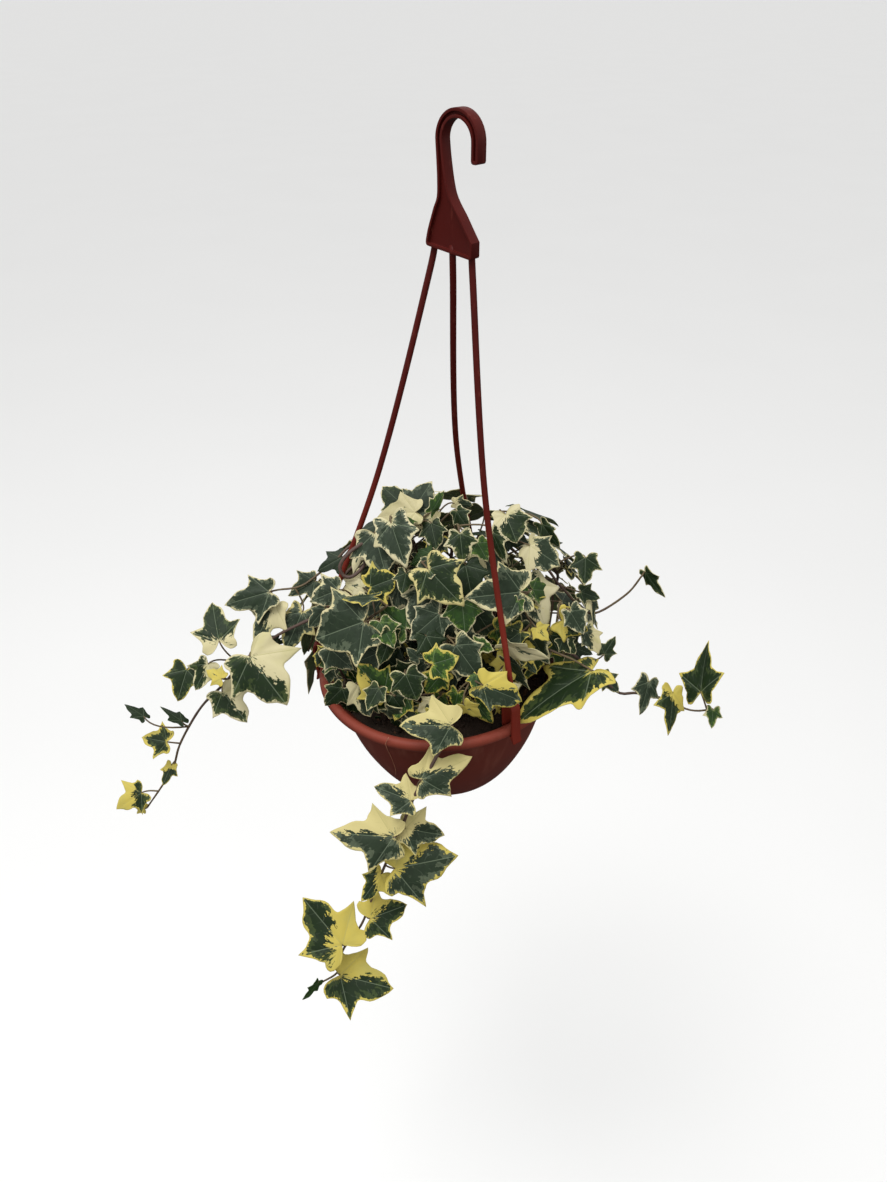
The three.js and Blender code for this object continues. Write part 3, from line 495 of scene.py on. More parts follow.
def young_leaves(stem):
    """Small leaves that fill the crown between the grown ones of a stem."""
    thick = stem["name"] in THICK_STEMS
    many, looks = (THICK_LEAVES, THICK_LOOKS) if thick else (YOUNG_LEAVES, YOUNG_LOOKS)
    leaves = []
    for k in range(0 if stem["trail"] else many):
        vary = leaf_variation(look_draw)
        foot = stem["route"].at(0.38 + 0.58 * (k + look_draw(0, 1)) / many)
        outward = dome_normal(foot)
        aside = turned(outward.orthogonal(), outward, look_draw(0, CIRCLE))
        joint = foot + outward * look_draw(4, 13) + aside * look_draw(4, 14)
        normal = (dome_normal(joint) + aside * 0.45 + HIGH * 0.3).normalized()
        leaves.append(leaf_frame(joint, hanging(normal, look_draw(-1.3, 1.3)), normal,
                                 look_draw(*YOUNG_LENGTHS), look_draw(0.8, 1.1), Vector(),
                                 vary, look=looks[int(look_draw(0, len(looks)))],
                                 pointed=k % 2 == 0, ring_shares=YOUNG_RING_SHARES))
    return leaves


# Stem routes, on the same curves as the part's

class Route:
    """A smooth curve through points, with the part's spacing along it."""

    DIVISIONS = 200

    def __init__(self, points):
        self.points = points
        samples = [self.at(i / self.DIVISIONS) for i in range(self.DIVISIONS + 1)]
        self.lengths = [0.0]
        for before, after in zip(samples, samples[1:]):
            self.lengths.append(self.lengths[-1] + (after - before).length)
        self.length = self.lengths[-1]

    def at(self, t):
        points = self.points
        place = (len(points) - 1) * t
        k = min(int(place), len(points) - 2)
        w = place - k
        p1, p2 = points[k], points[k + 1]
        p0 = points[k - 1] if k > 0 else points[0] * 2 - points[1]
        p3 = points[k + 2] if k + 2 < len(points) else points[-1] * 2 - points[-2]
        t0, t1 = (p2 - p0) * 0.5, (p3 - p1) * 0.5
        c2 = (p2 - p1) * 3 - t0 * 2 - t1
        c3 = (p1 - p2) * 2 + t0 + t1
        return p1 + t0 * w + c2 * w ** 2 + c3 * w ** 3

    def spaced(self, steps):
        return [self.at(self.share(i / steps)) for i in range(steps + 1)]

    def share(self, along):
        target = along * self.length
        k = int(np.searchsorted(self.lengths, target, side="right")) - 1
        k = min(max(k, 0), self.DIVISIONS - 1)
        step = self.lengths[k + 1] - self.lengths[k]
        return (k + (target - self.lengths[k]) / step) / self.DIVISIONS


def smooth_line(points, per_span):
    """A smooth line through 2-D points, each span cut into per_span steps."""
    line = Route([Vector((x, y, 0)) for x, y in points])
    steps = (len(points) - 1) * per_span
    return [line.at(i / steps)[:2] for i in range(steps + 1)]


def root_points(x, y):
    ground = soil_height_at(x, y)
    return [Vector((x, y, ground - HOLE_DEEP + 0.6)), Vector((x, y, ground + 5))]


def crown_route(root, leaves):
    start = root_points(*root)
    mean = sum((leaf["joint"] for leaf in leaves), Vector()) / len(leaves)
    last = leaves[-1]
    end = last["joint"] - last["axis"] * 9 - last["normal"] * 9
    return Route([*start, start[1].lerp(mean, 0.5) + HIGH * 7, end])


def back_route(root, leaves):
    return Route([*root_points(*root), *(
        dome_point(over_parts(leaf["joint"] - DOME_CENTRE, DOME_R), 0.74 + 0.07 * k)
        for k, leaf in enumerate(leaves[1:]))])


def make_stems():
    stems = []

    def add(name, leaves, route, trail=False):
        stems.append({"name": name, "leaves": leaves, "route": route, "trail": trail})

    for name, stem in STEMS.items():
        on_route = "route" in stem
        leaves = [drawn_leaf(values, on_route) for values in stem["leaves"]]
        if on_route:
            add(name, leaves, Route([*root_points(*stem["root"]),
                                     *(at_depth(*point) for point in stem["route"])]), True)
        else:
            add(name, leaves, crown_route(stem["root"], leaves))
    for i in range(BACK_STEMS):
        azimuth = BACK_FROM + (BACK_TO - BACK_FROM) * (i / (BACK_STEMS - 1))
        turn, far = math.radians(azimuth), BACK_ROOTS_R[i % 2]
        leaves = [ruled_leaf(azimuth, BACK_HIGH - BACK_STEP * k, BACK_SHARES, BACK_LENGTHS)
                  for k in range(BACK_LEAVES)]
        root = (far * math.cos(turn), far * math.sin(turn))
        add(f"ivy_behind_{i + 1}", leaves, back_route(root, leaves))
    for i, (x, y, azimuth) in enumerate(INNER_STEMS, 1):
        leaves = [ruled_leaf(azimuth, INNER_HIGH - INNER_STEP * k, INNER_SHARES, INNER_LENGTHS)
                  for k in range(INNER_LEAVES)][::-1]
        add(f"ivy_inner_{i}", leaves, crown_route((x, y), leaves))
    return stems


# Meshes

def stand(name, data):
    made = bpy.data.objects.new(name, data)
    bpy.context.scene.collection.objects.link(made)
    return made


class Shape:
    """Points, faces and per-point values that grow into one mesh."""

    def __init__(self):
        self.points = []
        self.faces = []
        self.smooth = []
        self.slots = []
        self.values = {}
        self.count = 0

    def add(self, points, faces, slot=0, smooth=True, **values):
        start = self.count
        self.points.append(np.asarray(points, float))
        self.faces.extend([tuple(i + start for i in face) for face in faces])
        self.smooth.extend([smooth] * len(faces) if isinstance(smooth, bool) else smooth)
        self.slots.extend([slot] * len(faces))
        for name in set(self.values) | set(values):
            size = values[name].shape[1] if name in values else self.values[name][0].shape[1]
            self.values.setdefault(name, [np.zeros((start, size))] if start else [])
            self.values[name].append(values.get(name, np.zeros((len(points), size))))
        self.count += len(points)

    def build(self, name, materials):
        points = (np.concatenate(self.points) - np.array(BEARING)) / 1000
        mesh = bpy.data.meshes.new(name)
        mesh.from_pydata(points.tolist(), [], self.faces)
        mesh.polygons.foreach_set("use_smooth", self.smooth)
        mesh.polygons.foreach_set("material_index", self.slots)
        for value, parts in self.values.items():
            flat = np.concatenate(parts).astype(np.float32)
            kind = "FLOAT" if flat.shape[1] == 1 else "FLOAT_VECTOR"
            attribute = mesh.attributes.new(value, kind, "POINT")
            attribute.data.foreach_set("value" if kind == "FLOAT" else "vector", flat.ravel())
        for material in materials:
            mesh.materials.append(material)
        mesh.update()
        return stand(name, mesh)


def shown(piece, slot, *nodes):
    """Every piece rides on the one body, and most stand for a node of the part."""
    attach(piece, "root")
    if nodes:
        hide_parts(*nodes)
    return piece


def reversed_faces(faces):
    return [tuple(reversed(face)) for face in faces]


def ring(radius, z, sides):
    """Points of a level circle."""
    turns = [2 * math.pi * k / sides for k in range(sides)]
    return [(radius * math.cos(turn), radius * math.sin(turn), z) for turn in turns]


def belt(low, high, sides):
    """Faces between two rings, from the number of each ring's first point."""
    return [(low + k, low + (k + 1) % sides, high + (k + 1) % sides, high + k)
            for k in range(sides)]


def tube_points(centres, radii, sides, flat=1.0, face=None):
    """Rings round a line of centres, with the frame carried along it."""
    centres = [Vector(c) for c in centres]
    points = []
    along = (centres[1] - centres[0]).normalized()
    across = Vector(face) if face else along.orthogonal()
    for i, centre in enumerate(centres):
        ahead = centres[min(i + 1, len(centres) - 1)] - centres[max(i - 1, 0)]
        along = ahead.normalized()
        across = (across - along * across.dot(along)).normalized()
        up = along.cross(across)
        for x, y, _ in ring(1, 0, sides):
            points.append(centre + across * (radii[i] * x) + up * (radii[i] * flat * y))
    return points


def tube_faces(rings, sides, ends=True):
    faces = [face for i in range(rings - 1) for face in belt(i * sides, (i + 1) * sides, sides)]
    if ends:
        last = (rings - 1) * sides
        faces += [tuple(reversed(range(sides))), tuple(range(last, last + sides))]
    return faces


def lathe(profile, sides):
    """Points and faces of a closed turned body whose profile starts and ends on the axis."""
    points = [(0, 0, profile[0][1]), (0, 0, profile[-1][1])]
    for r, z in profile[1:-1]:
        points += ring(r, z, sides)
    last = len(points) - sides
    faces = []
    for k in range(sides):
        after = (k + 1) % sides
        faces += [(0, 2 + after, 2 + k), (1, last + k, last + after)]
        faces += [(a + k, a + after, a + sides + after, a + sides + k)
                  for a in range(2, last, sides)]
    return points, faces


def cut_and_round(piece, cutter=None, bevel=None):
    """Applies a cut and a rounding of the sharp edges to a piece's own mesh."""
    if cutter:
        cut = piece.modifiers.new("cut", "BOOLEAN")
        cut.operation = "DIFFERENCE"
        cut.solver = "EXACT"
        cut.object = cutter
    if bevel:
        rounding = piece.modifiers.new("rounding", "BEVEL")
        rounding.width = bevel / 1000
        rounding.segments = 3
        rounding.limit_method = "ANGLE"
        rounding.angle_limit = math.radians(40)
    graph = bpy.context.evaluated_depsgraph_get()
    mesh = bpy.data.meshes.new_from_object(piece.evaluated_get(graph))
    piece.modifiers.clear()
    piece.data = mesh
    if cutter:
        bpy.data.objects.remove(cutter)


def mend(piece, change):
    mesh = bmesh.new()
    mesh.from_mesh(piece.data)
    change(mesh)
    mesh.to_mesh(piece.data)
    mesh.free()


def face_outward(mesh):
    bmesh.ops.recalc_face_normals(mesh, faces=mesh.faces)


def smooth_by_angle(mesh):
    """Smooth shading that keeps the edges sharper than 35 degrees."""
    for face in mesh.faces:
        face.smooth = True
    for edge in mesh.edges:
        sharp = len(edge.link_faces) == 2 and edge.calc_face_angle(0) > math.radians(35)
        edge.smooth = not sharp


# Leaves

def half_blade(side_lobe, basal_lobe, plump, pointed, bay):
    """One half of the outline, with its own lobes, fullness and depth of bay. The side lobe
    of a pointed leaf is a corner, and that of another is blunt."""
    basal = []
    for i, (x, y) in enumerate(BASAL_HALF):
        grow = basal_lobe + (side_lobe - basal_lobe) * (i / (len(BASAL_HALF) - 1))
        basal.append((x * grow, y * (basal_lobe if y < 0 else 1)))
    tip = []
    for i, (x, y) in enumerate(TIP_HALF):
        share = i / (len(TIP_HALF) - 1)
        grow = side_lobe * (1 - share) + plump * share
        fill = 1 + (bay - 1) * math.sin(math.pi * share)
        tip.append((x * grow * fill, y))
    if pointed:
        return smooth_line(basal, 2) + smooth_line(tip, 2)[1:]
    blunt = (0.95 * basal[-1][0], basal[-1][1] - 0.02)
    return smooth_line([*basal[:-1], blunt, *tip[1:]], 2)


def edge_distances(points, outline):
    closed = np.vstack([outline, outline[:1]])
    start, step = closed[:-1], np.diff(closed, axis=0)
    to = points[:, None, :] - start[None]
    along = np.clip((to * step).sum(2) / np.maximum((step ** 2).sum(1), 1e-9), 0, 1)
    miss = to - along[..., None] * step
    return np.sqrt((miss ** 2).sum(2)).min(1)


def vein_places(points, tips):
    """How far each point lies from its nearest main vein, and how far along that vein."""
    best = np.full(len(points), 9.0)
    along_best = np.zeros(len(points))
    for tip in tips:
        direction = np.array(tip) / np.hypot(*tip)
        along = points @ direction
        off = np.abs(points[:, 0] * direction[1] - points[:, 1] * direction[0])
        off = np.where(along < 0, np.hypot(points[:, 0], points[:, 1]), off)
        nearer = off < best
        best[nearer] = off[nearer]
        along_best[nearer] = along[nearer]
    return best, along_best


def look_numbers(leaf):
    """Numbers for the leaf's material from its words: how wide the pale edge is and the tones
    of its green and pale, and which way in the view the pale spreads."""
    words = leaf["look"].split()
    width, spread = WORDS[words[0]]
    across, upward = (sum(SIDES[word][i] for word in words if word in SIDES) for i in (0, 1))
    bias = (0.0, 0.0)
    if across or upward:
        spread = max(spread, 0.5)
        wanted = (RIGHT * across + UP * upward).normalized()
        local = (wanted.dot(leaf["side"]), wanted.dot(leaf["axis"]))
        size = max(math.hypot(*local), 0.2)
        bias = (spread * local[0] / size, spread * local[1] / size)
    warmth = 1.0 if "yellow" in words else 0.5 if "warm" in words else look_draw(0, 0.2)
    green = 1.0 if "bright" in words else 0.5 if "deep" in words else 0.0
    return (width + look_draw(-0.03, 0.03), green, warmth), bias


def blade_faces(count, rings, total):
    """Faces of both sides of a blade and its rim. The blade is a fan of rings, open at the
    notch, and its lower side's points are total places after the upper side's."""
    top = [(0, 1 + i, 2 + i) for i in range(count - 1)]
    for k in range(rings - 1):
        for a in range(1 + k * count, (k + 1) * count):
            top.append((a, a + count, a + count + 1, a + 1))
    under = [tuple(total + i for i in reversed(face)) for face in top]
    last = 1 + (rings - 1) * count
    rim = [(a, a + total, a + total + 1, a + 1) for a in range(last, last + count - 1)]
    for start, turn in ((1, 1), (count, -1)):
        line = [0] + [start + k * count for k in range(rings)]
        rim += [(a, a + total, b + total, b)[::turn] for a, b in zip(line, line[1:])]
    smooth = [True] * (len(top) + len(under)) + [False] * len(rim)
    return reversed_faces(top + under + rim), smooth


def blade_shape(shape, leaf, moved):
    """A thin waved blade with its lobes, grooves and the values that its colours need."""
    vary, length, shares = leaf["vary"], leaf["length"], leaf["ring_shares"]
    side_lobe, basal_lobe = look_draw(0.93, 1.08), look_draw(0.75, 1.1)
    plump = look_draw(0.9, 1.15)
    rest = (plump, leaf["pointed"], leaf["bay"] * look_draw(0.94, 1.06))
    right = half_blade(side_lobe, basal_lobe, *rest)
    left = [(-x, y) for x, y in half_blade(side_lobe * look_draw(0.95, 1.05),
                                           basal_lobe * look_draw(0.9, 1.1), *rest)]
    outline = np.array(right + left[-2::-1])
    bend = np.arctan2(outline[:, 0], outline[:, 1] + 0.05)
    outline *= (1 + 0.022 * np.sin(9 * bend + look_draw(0, CIRCLE))
                + 0.018 * np.sin(19 * bend + look_draw(0, CIRCLE)))[:, None]
    count = len(outline)
    flat = np.vstack([[(0, 0)], *(outline * share for share in shares)])
    total = len(flat)
    reach = np.concatenate([[0], np.repeat(shares, count)])
    around = np.resize(np.arctan2(outline[:, 0], outline[:, 1]), total - 1)
    around = np.concatenate([[0], around])
    edge = edge_distances(flat, outline) / EDGE_SCALE
    tips = [(0, 1), right[SIDE_TIP], left[SIDE_TIP], right[BASAL_TIP], left[BASAL_TIP]]
    off, along = vein_places(flat, tips)
    x, y = flat.T
    lobes = look_draw(2.6, 4.2)
    height = -0.1 * vary["droop"] * y ** 2 - 0.09 * vary["droop"] * x ** 2
    height += look_draw(-0.1, 0.16) * np.abs(x)
    height += (look_draw(0.02, 0.05) * reach ** 2
               * np.sin(lobes * around + look_draw(0, CIRCLE)))
    height += 0.018 * reach ** 3 * np.sin(9 * around + look_draw(0, CIRCLE))
    height -= VEIN_GROOVE * np.exp(-(off / VEIN_REACH) ** 2) * (1 - reach ** 4)
    wide = np.where(x > 0, vary["right"], vary["left"]) * length * leaf["width"]
    base = (np.array(leaf["joint"] + leaf["slide"] * moved)
            + np.outer(x * wide, leaf["side"]) + np.outer(y * length, leaf["axis"])
            + np.outer(height * length, leaf["normal"]))
    lift = np.array(leaf["normal"]) * (BLADE_THICK / 2)
    faces, smooth = blade_faces(count, len(shares), total)
    tones, bias = look_numbers(leaf)

    def columns(*parts):
        return np.column_stack([np.resize(part, 2 * total) for part in parts])

    shape.add(np.vstack([base + lift, base - lift]), faces, smooth=smooth,
              leaf_place=columns(x, y, look_draw(0, 40)), leaf_edge=columns(edge, *bias),
              leaf_vein=columns(off, along, np.repeat([0, 1], total)),
              leaf_look=columns(*tones))


def petiole_shape(shape, leaf, moved, rings):
    joint = leaf["joint"] + leaf["slide"] * moved
    heel = joint - leaf["axis"] * 7 - leaf["normal"] * 6
    best = min(range(2, len(rings)), key=lambda k: ((rings[k] - heel).length, k))
    foot = rings[best].lerp(rings[best - 1], 0.07)
    reach = (foot - joint).length
    bend = joint - leaf["axis"] * (0.3 * reach) - leaf["normal"] * (0.25 * reach)
    centres, radii = [], []
    for i in range(PETIOLE_STEPS):
        t = i / (PETIOLE_STEPS - 1)
        centres.append(joint * (1 - t) ** 2 + bend * (2 * t * (1 - t)) + foot * t ** 2)
        radii.append(PETIOLE_R * (0.85 + 0.3 * i / PETIOLE_STEPS))
    wood(shape, centres, radii, PETIOLE_SIDES, 0.45 + 0.55 * best / (len(rings) - 1))


def wood(shape, centres, radii, sides, young):
    """A stem or petiole. young gives its colour, from 0 for old wood to 1 at the tip."""
    young = np.repeat(np.resize(young, len(centres)), sides)[:, None]
    shape.add(tube_points(centres, radii, sides), tube_faces(len(centres), sides), slot=1,
              young=young)


def stem_shape(shape, stem):
    steps = max(8, round(stem["route"].length / STEM_SPACING))
    centres = stem["route"].spaced(steps)
    thick, thin = (1.6, 0.8) if stem["trail"] else (1.8, 1.0)
    radii = []
    for i, centre in enumerate(centres):
        swell = 1 + 0.16 * noise.noise(centre * 0.11)
        radii.append((thick + (thin - thick) * (i / steps) ** 1.3) * swell)
    wood(shape, centres, radii, STEM_SIDES, np.linspace(0, 1, steps + 1) ** 1.5)


def used_slide(leaf, tree):
    """Where the part put the leaf: the slide whose corners are corners of its node."""
    vary, length = leaf["vary"], leaf["length"]
    corners = [(0, 1, CAD_DROOP * vary["droop"])]
    for x, y, z in CAD_CORNERS:
        corners.append((x * vary["right"], y, z * vary["droop"]))
        corners.append((-x * vary["left"], y, z * vary["droop"]))
    found = []
    for moved in SLIDES:
        hits = 0
        for x, y, z in corners:
            point = leaf["joint"] + leaf["slide"] * moved
            point += leaf["side"] * (x * length * leaf["width"]) + leaf["axis"] * (y * length)
            for lift in (CAD_HALF_THICK, -CAD_HALF_THICK):
                corner = row(point + leaf["normal"] * (z * length + lift))
                hits += tree.find(corner)[2] < CORNER_MISS
        found.append((hits, -abs(moved), moved))
    hits, _, moved = max(found)
    return moved if hits >= 3 else None


def corner_tree(node):
    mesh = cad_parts[node].data
    tree = KDTree(len(mesh.vertices))
    for i, vertex in enumerate(mesh.vertices):
        tree.insert(vertex.co, i)
    tree.balance()
    return tree


def grow(stem, materials):
    shape = Shape()
    stem_shape(shape, stem)
    rings = stem["route"].spaced(max(1, int(stem["route"].length / STEM_STEP + 0.5)))
    tree = corner_tree(stem["name"])

    def add_leaf(leaf, moved):
        petiole_shape(shape, leaf, moved, rings)
        blade_shape(shape, leaf, moved)

    for leaf in stem["leaves"]:
        moved = used_slide(leaf, tree)
        if moved is None:
            print("no blade in the part for a leaf of", stem["name"])
        else:
            add_leaf(leaf, moved)
    if stem["name"] == LOOP_STEM:
        loop = Route([on_dome(*place) for place in LOOP]).spaced(LOOP_STEPS)
        wood(shape, loop, [LOOP_R] * len(loop), STEM_SIDES, LOOP_AGE)
    for leaf in young_leaves(stem):
        add_leaf(leaf, 0)
    piece = shape.build(f"{stem['name']}_fine", materials)
    return shown(piece, "foliage", stem["name"])


# Bowl

def tilt(points):
    c, s = math.cos(POT_TILT), math.sin(POT_TILT)
    points = np.asarray(points, float)
    return np.column_stack([points[:, 0] * c + points[:, 2] * s, points[:, 1],
                            -points[:, 0] * s + points[:, 2] * c])


def bowl_outer_radius(z):
    radii, heights = zip(*BOWL_OUTER)
    return float(np.interp(z, heights, radii))


def make_pot(material):
    inside = [(bowl_outer_radius(z) - WALL, z) for z in WALL_LEVELS]
    points, faces = lathe([*FOOT_RING, *smooth_line(BOWL_OUTER, 5), *smooth_line(ROLLED_RIM, 3),
                           *inside, (FOOT_R - 1.5, FLOOR_TOP), (0, FLOOR_TOP)], POT_SIDES)
    shape, drills = Shape(), Shape()
    shape.add(tilt(points), faces)
    pot = shape.build("pot_fine", [material])
    for i in range(DRAINS):
        turn = (i + 0.5) * 2 * math.pi / DRAINS
        x, y = DRAIN_CIRCLE_R * math.cos(turn), DRAIN_CIRCLE_R * math.sin(turn)
        ends = [(x, y, -BOWL_DEEP - 5), (x, y, -BOWL_DEEP + 8)]
        drills.add(tilt(tube_points(ends, [DRAIN_R] * 2, DRAIN_SIDES)),
                   tube_faces(2, DRAIN_SIDES))
    cut_and_round(pot, cutter=drills.build("drain_cutter", []))
    return shown(pot, "pot_plastic", "pot")


# Soil

def soil_top(x, y):
    lumps = (1.1 * math.sin(x * 0.21 + 1) * math.cos(y * 0.17)
             + 0.7 * math.sin(y * 0.37 + x * 0.3))
    inward = min(max((SOIL_EDGE_R - math.hypot(x, y)) / SOIL_EDGE_FADE, 0), 1)
    heaps = sum(high * math.exp(-((x - heap_x) ** 2 + (y - heap_y) ** 2) / reach ** 2)
                for heap_x, heap_y, high, reach in SOIL_HEAPS)
    return SOIL_TOP + inward * (heaps + lumps)


def soil_height_at(x, y):
    return soil_top(x, y) - x * math.sin(POT_TILT)


def crumbly_top(x, y):
    point = Vector((x, y, 0))
    coarse = noise.fractal(point * 0.09, 0.7, 2.1, 4)
    return soil_top(x, y) + (1.7 * coarse + 0.55 * noise.noise(point * 0.9))


def make_soil(material):
    edge_r = bowl_outer_radius(SOIL_TOP) - WALL - SOIL_GAP
    points = [(0, 0, soil_top(0, 0))]
    for i in range(1, SOIL_RINGS + 1):
        points += [(x, y, crumbly_top(x, y))
                   for x, y, _ in ring(edge_r * i / SOIL_RINGS, 0, SOIL_SIDES)]
    for z in SOIL_LEVELS:
        points += ring(bowl_outer_radius(z) - WALL - SOIL_GAP, z, SOIL_SIDES)
    points += ring(FOOT_R - 3, FLOOR_TOP + SOIL_GAP, SOIL_SIDES)
    last = len(points) - SOIL_SIDES
    faces = [(0, 1 + k, 1 + (k + 1) % SOIL_SIDES) for k in range(SOIL_SIDES)]
    for a in range(1, last, SOIL_SIDES):
        faces += [(face[0], *face[:0:-1]) for face in belt(a, a + SOIL_SIDES, SOIL_SIDES)]
    faces.append(tuple(reversed(range(last, last + SOIL_SIDES))))
    shape = Shape()
    shape.add(tilt(points), faces)
    add_crumbs(shape)
    return shown(shape.build("soil_fine", [material]), "soil", "soil")


def add_crumbs(shape):
    """Loose crumbs and short bark bits, lying half sunk in the soil."""
    place = Draws(909)
    crown, base = 3 * CRUMB_SIDES, 3 * CRUMB_SIDES + 1
    faces = reversed_faces(tube_faces(3, CRUMB_SIDES, ends=False))
    for k in range(CRUMB_SIDES):
        after = (k + 1) % CRUMB_SIDES
        faces += [(crown, k, after), (base, 2 * CRUMB_SIDES + after, 2 * CRUMB_SIDES + k)]
    for i in range(CRUMBS):
        r, turn = CRUMBS_R * math.sqrt(place(0.02, 1)), place(0, 6.283)
        x, y = r * math.cos(turn), r * math.sin(turn)
        size = place(0.9, 2.4) if i % 5 else place(2.2, 3.8)
        stretch = place(1.0, 1.5) if i % 4 else place(2.2, 4.0)
        lie = Quaternion(HIGH, place(0, 6.283))
        points = []
        for j in range(1, 4):
            down = math.pi * j / 4
            for a, b, _ in ring(math.sin(down), 0, CRUMB_SIDES):
                rough = size * place(0.7, 1.15)
                points.append(lie @ Vector((rough * stretch * a, rough * b,
                                            0.7 * rough * math.cos(down))))
        points = np.array(points) + (x, y, crumbly_top(x, y) + size * 0.2)
        top, low = points[:CRUMB_SIDES].mean(0), points[-CRUMB_SIDES:].mean(0)
        points = np.vstack([points, top + (0, 0, 0.3 * size), low - (0, 0, 0.3 * size)])
        bark = np.full((len(points), 1), 1.0 if stretch > 2 else 0.0)
        shape.add(tilt(points), faces, smooth=False, bark=bark)


# Weed and root thread

def leaflet(shape, base, axis, normal, length):
    side, ends = axis.cross(normal), LEAFLET_SIDES + 1
    points = [base]
    for x, y, _ in ring(1, 0, LEAFLET_SIDES):
        points.append(base + axis * (length * (0.55 - 0.5 * x)) + side * (0.42 * length * y)
                      + normal * 0.25)
    points.append(base + axis * (0.55 * length) + normal * 0.6)
    count = len(points)
    top = [(ends, 1 + k, 1 + (k + 1) % LEAFLET_SIDES) for k in range(LEAFLET_SIDES)]
    under = reversed_faces([[count + i for i in face] for face in top])
    rim = reversed_faces(belt(1, count + 1, LEAFLET_SIDES))
    shape.add(points + [point - normal * 0.4 for point in points], top + under + rim)


def make_weed(material):
    shape = Shape()
    place = Draws(77)
    for u, v in CLOVERS:
        ray = drawn(u, v) - EYE
        point = EYE + ray * ((SOIL_TOP - EYE.z) / ray.z)
        inward = min(1, CLOVERS_R / math.hypot(point.x, point.y))
        x, y = point.x * inward, point.y * inward
        ground = Vector((x, y, soil_height_at(x, y)))
        crown = ground + Vector((place(-2, 2), place(-2, 2), place(5, 9)))
        line = [ground - HIGH * 2, ground.lerp(crown, 0.6), crown]
        shape.add(tube_points(line, [CLOVER_STALK_R] * 3, 5), tube_faces(3, 5))
        start = place(0, 2)
        for k in range(3):
            turn = start + 2 * math.pi * k / 3
            axis = Vector((math.cos(turn), math.sin(turn), 0.15)).normalized()
            normal = axis.cross(HIGH).cross(axis).normalized()
            leaflet(shape, crown, axis, normal, place(3.6, 5.2))
    return shown(shape.build("clover", [material]), "foliage")


def on_bowl(u, v):
    """The point of the bowl's outside that shows at a point of the drawing, with the bowl
    still level."""
    eye, seen = (Quaternion((0, 1, 0), -POT_TILT) @ point for point in (EYE, drawn(u, v)))
    ray = (seen - eye).normalized()
    point = eye + ray * 500
    for _ in range(RAY_STEPS):
        point = point + ray * RAY_STEP
        wall = RIM_R if point.z > -RIM_TALL - 0.5 else bowl_outer_radius(point.z)
        if math.hypot(point.x, point.y) < wall + 1.2 * THREAD_R:
            break
    return point


def make_thread(material):
    centres = tilt([on_bowl(u, v) for u, v in smooth_line(THREAD, 6)])
    shape = Shape()
    shape.add(tube_points(centres, [THREAD_R] * len(centres), THREAD_SIDES),
              tube_faces(len(centres), THREAD_SIDES))
    return shown(shape.build("root_thread", [material]), "foliage")


# Hanger

def moulded(name, material, points, faces, bevel=None):
    """A piece of the hanger. A bevel rounds the sharp edges of a piece cut from a plate."""
    shape = Shape()
    shape.add(points, faces, smooth=not bevel)
    piece = shape.build(name, [material])
    if bevel:
        mend(piece, face_outward)
        cut_and_round(piece, bevel=bevel)
        mend(piece, smooth_by_angle)
    return shown(piece, "hanger_plastic", "hanger")


def arc(radius, start, end, steps):
    turns = [start + (end - start) * i / steps for i in range(steps + 1)]
    return [(radius * math.cos(turn), radius * math.sin(turn)) for turn in turns]


def corner(x, z, across, up):
    """Three points that round a corner, from its level side to its upright one."""
    return [(x + across, z), (x + 0.3 * across, z + 0.3 * up), (x, z + up)]


def head_outline(inset):
    inner, outer, low = HOOK_IN + inset, HOOK_OUT - inset, PLATE_LOW + inset
    inside = smooth_line([(-inner, 0), *((x - inset, z) for x, z in HEAD_INSIDE)], 3)
    outside = smooth_line([*((x + inset, z) for x, z in HEAD_OUTSIDE), (-outer, 0)], 3)
    cut, end = HEAD_CORNER - 0.55 * inset, -HOOK_TAIL + inset
    left, right = PLATE_LEFT + inset, PLATE_RIGHT - inset
    return [*corner(inner, end, cut, cut), *arc(inner, 0, math.pi, 24), *inside[1:],
            *reversed(corner(right, low - PLATE_SLANT, -cut, cut)), *corner(left, low, cut, cut),
            *outside, *arc(outer, math.pi, 0, 24)[1:], *reversed(corner(outer, end, -cut, cut))]


def head_place(points):
    c, s = math.cos(HOOK_TURN), math.sin(HOOK_TURN)
    return [(u * c - d * s + BEARING.x, u * s + d * c + BEARING.y, z + BEARING.z - HOOK_IN)
            for u, d, z in points]


def make_head(material):
    """The hook and its flared foot: a flange all round a thinner web."""
    outline, inset = head_outline(0), head_outline(HEAD_FLANGE)
    half, web = HEAD_DEEP / 2, HEAD_WEB / 2
    levels = [(inset, -web), (inset, -half), (outline, -half), (outline, half),
              (inset, half), (inset, web)]
    points = [(x, depth, z) for line, depth in levels for x, z in line]
    faces = tube_faces(len(levels), len(outline), ends=False)
    last = (len(levels) - 1) * len(outline)
    for a, b, c in tessellate_polygon([[Vector((x, z, 0)) for x, z in inset]]):
        faces += [(a, c, b), (last + a, last + b, last + c)]
    return moulded("hanger_head", material, head_place(points), faces, HEAD_ROUND)


def make_strap(index, strap, material):
    top = Vector(head_place([(strap["from"], 0, PLATE_LOW + 3)])[0])
    (x, y), = arc(RIM_R - 4.4, math.radians(strap["angle"]), 0, 1)[:1]
    foot = Vector(tilt([(x, y, CLIP_RISE - 2)])[0])
    under = (top - HIGH * 14).lerp(foot, 0.02)
    middle = top.lerp(foot, 0.5) + Vector(strap["bow"])
    above = (foot + HIGH * 10).lerp(top, 0.02)
    centres = Route([top, under, middle, above, foot]).spaced(STRAP_STEPS)
    points = tube_points(centres, [STRAP_WIDE / 2] * len(centres), STRAP_SIDES,
                         flat=STRAP_THICK / STRAP_WIDE, face=(0.7, -0.7, 0))
    return moulded(f"hanger_strap_{index}", material, points,
                   tube_faces(len(centres), STRAP_SIDES))


